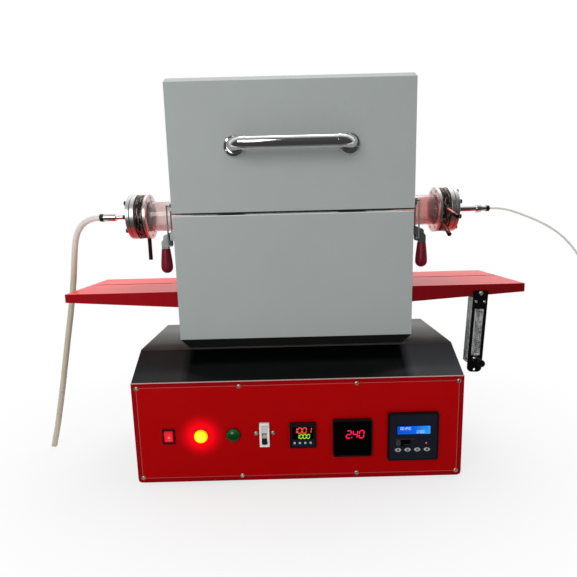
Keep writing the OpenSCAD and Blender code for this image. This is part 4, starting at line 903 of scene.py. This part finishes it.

# Furnace shells
# The lower shell and the lid are folded sheet with a pale grey-green powder coat, finely pebbled. The
# lid's front top edge and the lower shell's rim carry a painted highlight, and the lid's front rim a
# painted shade over the seam.
shell_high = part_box("lower_shell")[1]
lid_low, lid_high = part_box("lid_shell")
solid_hip_in, solid_hip_drop, hip_in, hip_drop = 15 * MM, 25 * MM, 4 * MM, 7 * MM
pebble_size, rim_highlight_height, seam_shade_height, seam_shade_depth = 2.4, 1.8, 2, 1.2
powder = Finish("grey_powder_coat", {"Specular IOR Level": 0.3})
pebble = powder.add("ShaderNodeTexVoronoi", {"feature": "SMOOTH_F1"}, {
    "Vector": powder.place(), "Scale": 1 / (pebble_size * MM), "Smoothness": 0.6})
grain = powder.noise(1.1, 3)
stain = powder.noise(160, 4, rough=0.6)
x, y, z = powder.axes()
rim_top = shell_high.z / MM + 0.2
# Painted highlights on the lid's front hip and the lower shell's rim; painted shade on the lid's front rim
# over the seam.
hip_painted_highlight = (z > (lid_high.z - hip_drop) / MM) * (y < (lid_low.y + hip_in) / MM)
rim_painted_highlight = (z > rim_top - rim_highlight_height) * (z < rim_top)
seam_painted_shade = (z > rim_top) * (z < lid_low.z / MM + seam_shade_height) * (y < lid_low.y / MM + seam_shade_depth)
paint = powder.mix(stain, (0.33, 0.36, 0.355), (0.37, 0.4, 0.39))
paint_with_painted_highlights = powder.mix(hip_painted_highlight.at_least(rim_painted_highlight), paint, (0.62, 0.66, 0.65))
powder.set({
    "Base Color": powder.mix(seam_painted_shade, paint_with_painted_highlights, (0.008, 0.008, 0.008)),
    "Roughness": 0.5 + stain * 0.1,
    "Normal": powder.bump(pebble * 0.7 + grain * 0.5, 0.16)})
dress("lower_shell", powder, 0.7, rounds=3)


def square_up(corner):
    """The lid's top edges are bevelled less than on the solid."""
    slack = 0.3 * MM
    if corner.z > lid_high.z - slack:
        for axis in (0, 1):
            reach = (lid_high if corner[axis] > 0 else lid_low)[axis]
            if abs(abs(corner[axis]) - abs(reach) + solid_hip_in) < slack:
                corner[axis] = math.copysign(abs(reach) - hip_in, corner[axis])
    elif abs(corner.z - lid_high.z + solid_hip_drop) < slack:
        corner.z = lid_high.z - hip_drop


dress("lid_shell", powder, 0.7, rounds=3, reshape=square_up)

# Insulation
# White ceramic fibre blocks with the half-round heated chamber, cut rather than moulded, so their
# faces are matt and slightly torn.
fibre = Finish("ceramic_fibre", {"Roughness": 0.95})
torn = fibre.noise(4, 6, rough=0.7)
fibre.set({
    "Base Color": fibre.mix(torn, (0.68, 0.66, 0.6), (0.85, 0.84, 0.8)),
    "Normal": fibre.bump(torn + fibre.noise(0.9, 3, (0.3, 1, 1)) * 0.4, 0.5)})
for node in ("lower_insulation", "upper_insulation"):
    dress(node, fibre, 0.8)

# Heaters
# Resistance wire wound in a close helix along each row of the chamber, oxidised dark brown by the
# heat. The rows are joined end to end by bends.
oxide = Finish("oxidised_wire", {"Metallic": 0.6, "Roughness": 0.6},
               mottle=(12, (0.11, 0.075, 0.05), (0.2, 0.16, 0.13), 4), grain=(0.6, 0.03))
axis_z = (shell_high.z + lid_low.z) / 2
tube_axis = axis_z / MM
winding_points = 10


def winding_tree(name):
    """Geometry Nodes: winds a wire in a close helix round a path of edges."""
    graph, (path, step, winding, wire, finish) = start_tree(name, {
        "Step": "NodeSocketFloat", "Winding": "NodeSocketFloat", "Wire": "NodeSocketFloat",
        "Finish": "NodeSocketMaterial"})
    curve = graph.add("GeometryNodeMeshToCurve", inputs={"Mesh": path})
    fine = graph.add("GeometryNodeResampleCurve", {"mode": "LENGTH"}, {"Curve": curve, "Length": step})
    tangent = graph.add("GeometryNodeInputTangent")
    normal = graph.add("GeometryNodeInputNormal")
    side = graph.add("ShaderNodeVectorMath", {"operation": "CROSS_PRODUCT"}, {0: tangent, 1: normal})
    angle = graph.add("GeometryNodeInputIndex") * (2 * math.pi / winding_points)
    along_normal = graph.add("ShaderNodeVectorMath", {"operation": "SCALE"},
                             {0: normal, "Scale": compute("COSINE", angle) * winding})
    along_side = graph.add("ShaderNodeVectorMath", {"operation": "SCALE"},
                           {0: side, "Scale": angle.sine() * winding})
    offset = graph.add("ShaderNodeVectorMath", {"operation": "ADD"}, {0: along_normal, 1: along_side})
    helix = graph.add("GeometryNodeSetPosition", inputs={"Geometry": fine, "Offset": offset})
    section = graph.add("GeometryNodeCurvePrimitiveCircle", inputs={"Resolution": 5, "Radius": wire})
    swept = graph.add("GeometryNodeCurveToMesh", inputs={
        "Curve": helix, "Profile Curve": section, "Fill Caps": True})
    return end_tree(graph, swept, finish)


winding = winding_tree("heater_winding")
row_count, row_sweep, row_reach, row_ring = 4, 126, 173, 35.7
wound_r, wire_r, wire_pitch = 2.0, 0.5, 2.4
row_gap = row_sweep / (row_count - 1)
bend_steps = 8
for node, body, middle_bearing in (("lower_heater", "root", -90), ("upper_heater", "lid", 90)):
    path = []
    for row in range(row_count):
        bearing = middle_bearing - row_sweep / 2 + row * row_gap
        end = row_reach if row % 2 == 0 else -row_reach
        path += [(-end, bearing), (end, bearing)]
        if row < row_count - 1:
            path += [(end, bearing + row_gap * k / bend_steps) for k in range(1, bend_steps)]
    points = [(along * MM, row_ring * MM * math.cos(math.radians(a)),
               (tube_axis + row_ring * math.sin(math.radians(a))) * MM) for along, a in path]
    data = bpy.data.meshes.new(node + "_path")
    data.from_pydata(points, [(k, k + 1) for k in range(len(points) - 1)], [])
    coil = grow(node + "_coil", data, winding, {
        "Step": wire_pitch * MM / winding_points, "Winding": wound_r * MM, "Wire": wire_r * MM,
        "Finish": oxide.material})
    fit(shade(coil, 60), body, slot_of(node), node)

# Thermocouple
# Bright sheath that stands up through the lower block to just under the work tube.
probe_steel = Finish("probe_sheath", {"Metallic": 1.0, "Roughness": 0.35},
                     mottle=(20, (0.55, 0.54, 0.52), (0.4, 0.37, 0.33)))
dress("thermocouple", probe_steel)

# Work tube
# Fused quartz, fire polished, a little milky where it has been hot. Outside the body it has a painted
# reflection of the red round it, more on the right.
quartz = Finish("fused_quartz", {"Transmission Weight": 0.86, "IOR": 1.46}, grain=(40, 0.05, 2, (0.3, 1, 1)))
haze = quartz.noise(70, 3, (0.5, 1, 1))
x, y, z = quartz.axes()
shell_end = shell_high.x / MM
side_span = 300
# Painted reflection: outside the body the tube is tinted with the red round it, more on the right.
quartz_painted_reflection = quartz.mix(x.fade(-side_span, side_span), (0.93, 0.8, 0.78), (0.85, 0.52, 0.5))
quartz.set({
    "Base Color": quartz.mix(abs(x) > shell_end, (0.96, 0.95, 0.95), quartz_painted_reflection),
    "Roughness": 0.05 + haze * 0.12})
dress("quartz_tube", quartz)

# Hinges
# Two butt hinges of plated steel behind the split: leaves with rolled knuckles, and headed pins.
for node in ("lower_hinge_leaves", "upper_hinge_leaves", "hinge_pins"):
    dress(node, plated, 0.25)

# Handle
# Chromed steel tube with elbows, let into two cast rosettes that are screwed to the lid.
chrome = Finish("bright_chrome", {"Metallic": 1.0, "Base Color": (0.82, 0.82, 0.83)}, grain=(25, 0.02, 2))
chrome.set({"Roughness": 0.05 + chrome.noise(30, 3) * 0.06})
dress("lid_handle", chrome)

# Latches
# Over-centre latches of plated sheet and wire: base with ears and rivet, lever with a dipped vinyl
# grip, wire loop, and the hooked catch on the lid.
zinc = Finish("dull_zinc_plate", {"Metallic": 1.0}, grain=(2.5, 0.04, 2))
wear = zinc.noise(7, 4, rough=0.6)
zinc.set({
    "Base Color": zinc.mix(wear, (0.55, 0.57, 0.56), (0.2, 0.22, 0.22)),
    "Roughness": 0.2 + wear * 0.25})
for node in ("latch_bases", "latch_catches", "left_latch_lever", "right_latch_lever"):
    dress(node, zinc, 0.2)
for node in ("left_latch_loop", "right_latch_loop"):
    dress(node, zinc)
vinyl = Finish("dipped_vinyl", {
    "Roughness": 0.3, "Specular IOR Level": 0.22, "Subsurface Weight": 0.1,
    "Subsurface Radius": (1, 0.1, 0.1), "Subsurface Scale": 0.002},
    mottle=(18, (0.11, 0.002, 0.009), (0.19, 0.005, 0.018)), grain=(7, 0.15, 2))
for node in ("left_latch_grip", "right_latch_grip"):
    dress(node, vinyl)

# Small screws
# The same domed heads, smaller, hold the latches, the hinges, the catches, the rosettes and the flow
# meter's body on its plate.
latch_y = middle("right_latch_lever").y
plate, leaf, rosette = 1.5 * MM, 2 * MM, 5 * MM
base_heights, catch_height = (0.4495, 0.4855), 0.531
hinge_x, leaf_screw_off, lower_leaf_z, upper_leaf_z = 0.14, 0.02, 0.478, 0.530
rosette_x, rosette_z, rosette_ring = 0.1025, 0.6195, 15.3
meter_screw_off, meter_screw_drop = 8, 16
root_screws = [(on_meter(side * meter_screw_off, meter_front / MM, -meter_screw_drop), to_front)
               for side in (-1, 1)]
lid_screws = []
for side in (-1, 1):
    outward = Vector((side, 0, 0))
    for height in base_heights:
        root_screws.append((Vector((side * (shell_high.x + plate), latch_y, height)), outward))
    lid_screws.append((Vector((side * (lid_high.x + plate), latch_y, catch_height)), outward))
    for along in (-leaf_screw_off, leaf_screw_off):
        root_screws.append((Vector((side * hinge_x + along, shell_high.y + leaf, lower_leaf_z)), to_back))
        lid_screws.append((Vector((side * hinge_x + along, lid_high.y + leaf, upper_leaf_z)), to_back))
    for bearing in (90, 210, 330):
        spoke = Vector((math.cos(math.radians(bearing)), 0, math.sin(math.radians(bearing))))
        seat = Vector((side * rosette_x, lid_low.y - rosette, rosette_z)) + spoke * rosette_ring * MM
        lid_screws.append((seat, to_front))
fit(scatter_on("body_screws", root_screws, small_head, plated), "root", "zinc")
fit(scatter_on("lid_screws", lid_screws, small_head, plated), "lid", "zinc")
for head in (large_head, small_head):
    bpy.data.objects.remove(head)

# End flanges
# Turned steel discs with fine tool marks round them, black seals between, dark ribbed cooling rings
# with painted glints on their ribs, and black socket-head bolts. The clamp rings' inner faces carry a
# painted reflection of the red shelves.
turned = Finish("turned_steel", {"Metallic": 1.0})
x, y, z = turned.axes()
inner_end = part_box("clamp_rings")[1].x / MM - 3
# Painted reflection: the clamp rings' inner faces are tinted red, more towards the bottom.
towards_shelf = (z - tube_axis) / -60 + 0.7
clamp_painted_reflection = (abs(x) < inner_end) * towards_shelf.at_most(1).at_least(0.35)
mark_rate = 9
tool_marks = (distance(y, z - tube_axis) * mark_rate).sine()
turned.set({
    "Base Color": turned.mix(clamp_painted_reflection, (0.66, 0.65, 0.64), (1.0, 0.56, 0.54)),
    "Roughness": 0.26 + turned.noise(15, 3) * 0.16,
    "Normal": turned.bump(tool_marks, 0.006)})
for node in ("clamp_rings", "end_flanges", "end_caps"):
    dress(node, turned, 0.4)
cooler_brown = Finish("cooler_brown", {"Metallic": 0.8})
crust_and_painted_glints = cooler_brown.noise(1.5, 3, (1, 0.16, 0.16), rough=0.6)
x, y, z = cooler_brown.axes()
rib_reach, rib_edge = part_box("cooling_rings")[1].z / MM - tube_axis, 0.6
on_edge = (rib_reach - distance(y, z - tube_axis)) < rib_edge
# The ramp's pale top stop paints glints on the ribs.
cooler_brown.set({
    "Base Color": cooler_brown.mix(on_edge, (0.006, 0.003, 0.002), cooler_brown.ramp(
        crust_and_painted_glints, (0.4, (0.02, 0.01, 0.008)), (0.52, (0.09, 0.05, 0.04)), (0.6, (0.62, 0.5, 0.46)))),
    "Roughness": 0.3 + crust_and_painted_glints * 0.15,
    "Normal": cooler_brown.bump(crust_and_painted_glints, 0.2)})
dress("cooling_rings", cooler_brown, 0.3)
seal = Finish("seal_rubber", {"Base Color": (0.008, 0.008, 0.008), "Roughness": 0.6}, grain=(1.5, 0.05))
dress("flange_seals", seal)
black_oxide = Finish("black_oxide_bolt", {"Metallic": 0.7, "Roughness": 0.35},
                     mottle=(2, (0.012, 0.012, 0.013), (0.03, 0.03, 0.03)))
dress("flange_bolts", black_oxide, 0.3)

# Water tubes and gas ports
# Copper stubs on the cooling rings, scorched dark on the left and at the front ends of the right-hand
# pair, and turned fittings on the end caps and behind the flow meter.
copper = Finish("copper_tube", {"Metallic": 0.85, "Roughness": 0.32})
x, y, z = copper.axes()
scorched_from = -64
scorched = ((y < scorched_from) + (x < 0)).at_most(1) * 0.93
clean_copper = copper.mottled(12, (0.42, 0.13, 0.1), (0.26, 0.08, 0.065))
copper.set({"Base Color": copper.mix(scorched, clean_copper, (0.03, 0.008, 0.009))})
dress("water_tubes", copper, 0.2)
fitting_steel = Finish("polished_fitting", {"Metallic": 1.0, "Roughness": 0.16},
                       mottle=(8, (0.72, 0.71, 0.68), (0.55, 0.53, 0.5)))
dress("gas_ports", fitting_steel, 0.3)
edge = 0.5
for name, start_x, side, radius, length, finish in (
        ("hose_ferrule", -0.3875, -1, 7.9, 8, black_oxide),
        ("port_collar", 0.3785, 1, 8.4, 2.4, fitting_steel),
        ("push_ring", 0.3985, 1, 6, 6.5, black_oxide)):
    ring_profile = [(0, 0), (radius - edge, 0), (radius, edge), (radius, length - edge),
                    (radius - edge, length), (0, length)]
    turned_piece(name, ring_profile, 40, finish, facing((side, 0, 0), (start_x, 0, axis_z)), "steel")

# Cable gland
# Black moulded gland in the rear wall, where the mains cord goes in.
dress("cable_gland", moulded, 0.5)

# Side shelves
# Folded red sheet, hung on the ends of the lower shell, with a slot along each top. A small red plug
# closes the left shelf's spare screw hole.
shelf_low, shelf_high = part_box("side_shelves")
shelf_top = shelf_high.z / MM
slot_y, slot_half, slot_depth, top_skin = 14, 3, 2.2, 0.4
shelf_enamel = Finish("shelf_red_enamel", {
    "Specular IOR Level": 0.08, "Roughness": 0.4, "Coat Roughness": 0.3}, grain=(3, 0.02, 2))
x, y, z = shelf_enamel.axes()
# Painted light: the tops are much lighter than the front skirts, both are lighter on the left than on the
# right, and the slot is painted near black as shade.
painted_light_to_right = x.fade(-side_span, side_span)
on_top = (z > shelf_top - top_skin) * (abs(y - slot_y) > slot_half)
slot_painted_shade = (z > shelf_top - slot_depth) * (abs(y - slot_y) < slot_half)
top_red_painted_light = shelf_enamel.mix(painted_light_to_right, (0.96, 0.01, 0.012), (0.78, 0.01, 0.008))
skirt_red_painted_shade = shelf_enamel.mix(painted_light_to_right, (0.3, 0.0006, 0.005), (0.17, 0.001, 0.003))
shelf_enamel.set({
    "Base Color": shelf_enamel.mix(slot_painted_shade, shelf_enamel.mix(on_top, skirt_red_painted_shade, top_red_painted_light), (0.02, 0.0, 0.001)),
    "Coat Weight": on_top * (0.3 + shelf_enamel.noise(110, 3) * 0.4)})
dress("side_shelves", shelf_enamel, 0.7, rounds=3)
plug_profile = [(0, -2.5), (2.2, -2.5), (2.2, 0), (3, 0), (2.8, 0.5), (1.6, 0.9), (0, 1)]
plug_seat = facing(to_front, Vector((-meter_screw.x, shelf_low.y, meter_screw.z)))
turned_piece("shelf_hole_plug", plug_profile, 24, shelf_enamel, plug_seat, "shelf_red")

# Flow meter
# Black plate with a window, a clear acrylic body behind it with the float in its bore, a printed
# scale, and a needle valve with a black knob.
plate_black = Finish("meter_plate_black", {
    "Base Color": (0.003, 0.003, 0.003), "Roughness": 0.4, "Specular IOR Level": 0.15}, grain=(0.9, 0.02, 2))
dress("meter_plate", plate_black, 0.3)
acrylic = Finish("clear_acrylic", {"Transmission Weight": 0.6, "IOR": 1.49}, grain=(12, 0.03, 2))
streaks = acrylic.ramp(acrylic.noise(5, 4, (1, 1, 0.35)), (0.4, (0, 0, 0)), (0.62, (1, 1, 1)))
acrylic.set({
    "Base Color": acrylic.mix(streaks, (0.3, 0.31, 0.31), (0.78, 0.79, 0.78)),
    "Roughness": 0.12 + acrylic.noise(20, 2) * 0.15})
dress("meter_body", acrylic, 0.5)
dress("meter_float", moulded)
dress("meter_knob", moulded, 0.3)
ink = Finish("scale_ink", {"Roughness": 0.5, "Specular IOR Level": 0.2},
             mottle=(2, (0.01, 0.01, 0.01), (0.03, 0.03, 0.03)))
scale_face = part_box("meter_body")[0].y / MM
scale_top, scale_step, scale_marks, marks_per_figure = -36, 4, 21, 5
tick_height, short_tick, long_tick, tick_start = 1.4, 4, 6, -0.5
figure_height, figure_count, figure_x = 3.4, 5, 4.6
scale = bmesh.new()
for mark in range(scale_marks):
    width = short_tick if mark % marks_per_figure else long_tick
    tick = rounded(width, tick_height, 0.1)
    join(scale, outline_block(tick, 0.2, at(tick_start + width / 2, 0, scale_top - scale_step * mark)))
fit(as_piece("meter_scale", scale, ink, meter_turn @ at(0, scale_face, 0)), "root", "black_plate")
for number in range(figure_count):
    foot = scale_top - scale_step * (marks_per_figure * number) - figure_height / 2
    digits("scale_figure_%d" % number, str(9 - 2 * number), figure_height,
           meter_turn @ at(figure_x, scale_face, foot), ink, "black_plate", pitch=0.8, stroke=0.2, slant=0)
plate_above, plate_length, valve_up = 5, 160, 26
neck_seat = meter_turn @ Vector((0, meter_front, (plate_above - plate_length + valve_up) * MM))
neck_profile = [(0, -1), (5.2, -1), (5.2, 1.2), (4.4, 1.6), (4.4, 4.5), (3.6, 5), (0, 5)]
turned_piece("valve_neck", neck_profile, 30, fitting_steel, facing(to_front, neck_seat), "steel")

# Floor and light
# A plain pale floor under soft studio light. The camera, metal and glass see white all round, but
# what lies in front of the furnace stays darker, as a room does behind a photographer.
pale_floor = Finish("pale_floor", {
    "Base Color": (0.9, 0.9, 0.9), "Roughness": 0.9, "Specular IOR Level": 0.1})
x, y, z = pale_floor.axes()
lit_end, white_from, oval, back = 380, 800, 1.3, 120
front_start, front_full = -185, -275
far_off = distance(x, y * oval - back).fade(lit_end, white_from)
in_front = y.fade(front_start, front_full)
seen = pale_floor.add("ShaderNodeLightPath", output="Is Camera Ray")
mirrored = pale_floor.add("ShaderNodeLightPath", output="Is Glossy Ray")
white_floor = pale_floor.add("ShaderNodeEmission", inputs={"Color": (1, 1, 1), "Strength": 1.0})
dark_floor = pale_floor.add("ShaderNodeEmission", inputs={"Color": (1, 1, 1), "Strength": 0.05})
lit_floor = Wire(pale_floor.tree, pale_floor.shader.outputs[0])
to_camera = pale_floor.add("ShaderNodeMixShader", inputs={
    0: seen * (0.72 + far_off * 0.28), 1: lit_floor, 2: white_floor})
to_metal = pale_floor.add("ShaderNodeMixShader", inputs={0: mirrored * in_front, 1: to_camera, 2: dark_floor})
plug(pale_floor.tree, pale_floor.tree.nodes["Material Output"].inputs["Surface"], to_metal)
floor_mesh = bmesh.new()
bmesh.ops.create_grid(floor_mesh, x_segments=1, y_segments=1, size=8)
floor = as_piece("floor", floor_mesh, pale_floor)
world = bpy.data.worlds.new("studio")
world.use_nodes = True
bpy.context.scene.world = world
sky = Graph(world.node_tree)
camera_ray, glossy_ray, clear_ray = (sky.add("ShaderNodeLightPath", output=name) for name in (
    "Is Camera Ray", "Is Glossy Ray", "Is Transmission Ray"))
direction = sky.add("ShaderNodeTexCoord", output="Generated")
towards_back = sky.add("ShaderNodeSeparateXYZ", inputs={0: direction}, output="Y")
above = sky.add("ShaderNodeSeparateXYZ", inputs={0: direction}, output="Z")
ambient, darkest = 0.42, 0.06
in_metal = (0.5 + towards_back * 1.1 + above * 0.5).at_most(1.0).at_least(darkest)
unseen = ambient + (in_metal - ambient) * glossy_ray
backdrop = world.node_tree.nodes["Background"]
plug(world.node_tree, backdrop.inputs["Color"], (1.0, 1.0, 1.0))
plug(world.node_tree, backdrop.inputs["Strength"], unseen + (1.0 - unseen) * camera_ray.at_least(clear_ray))


def lamp_panel(name, place, target, size, power):
    """A soft square lamp that shines from its place to its target."""
    light = bpy.data.lights.new(name, "AREA")
    light.size = size
    light.energy = power
    stand(name, light).matrix_world = facing(Vector(place) - Vector(target), place)


lamp_panel("ceiling_light", (0.1, 0.9, 2.3), (0, 0, 0.3), 1.5, 30)
lamp_panel("front_light", (-0.8, -2.2, 1.3), (0, 0, 0.35), 1.4, 24)
bpy.context.scene.view_settings.view_transform = "Standard"
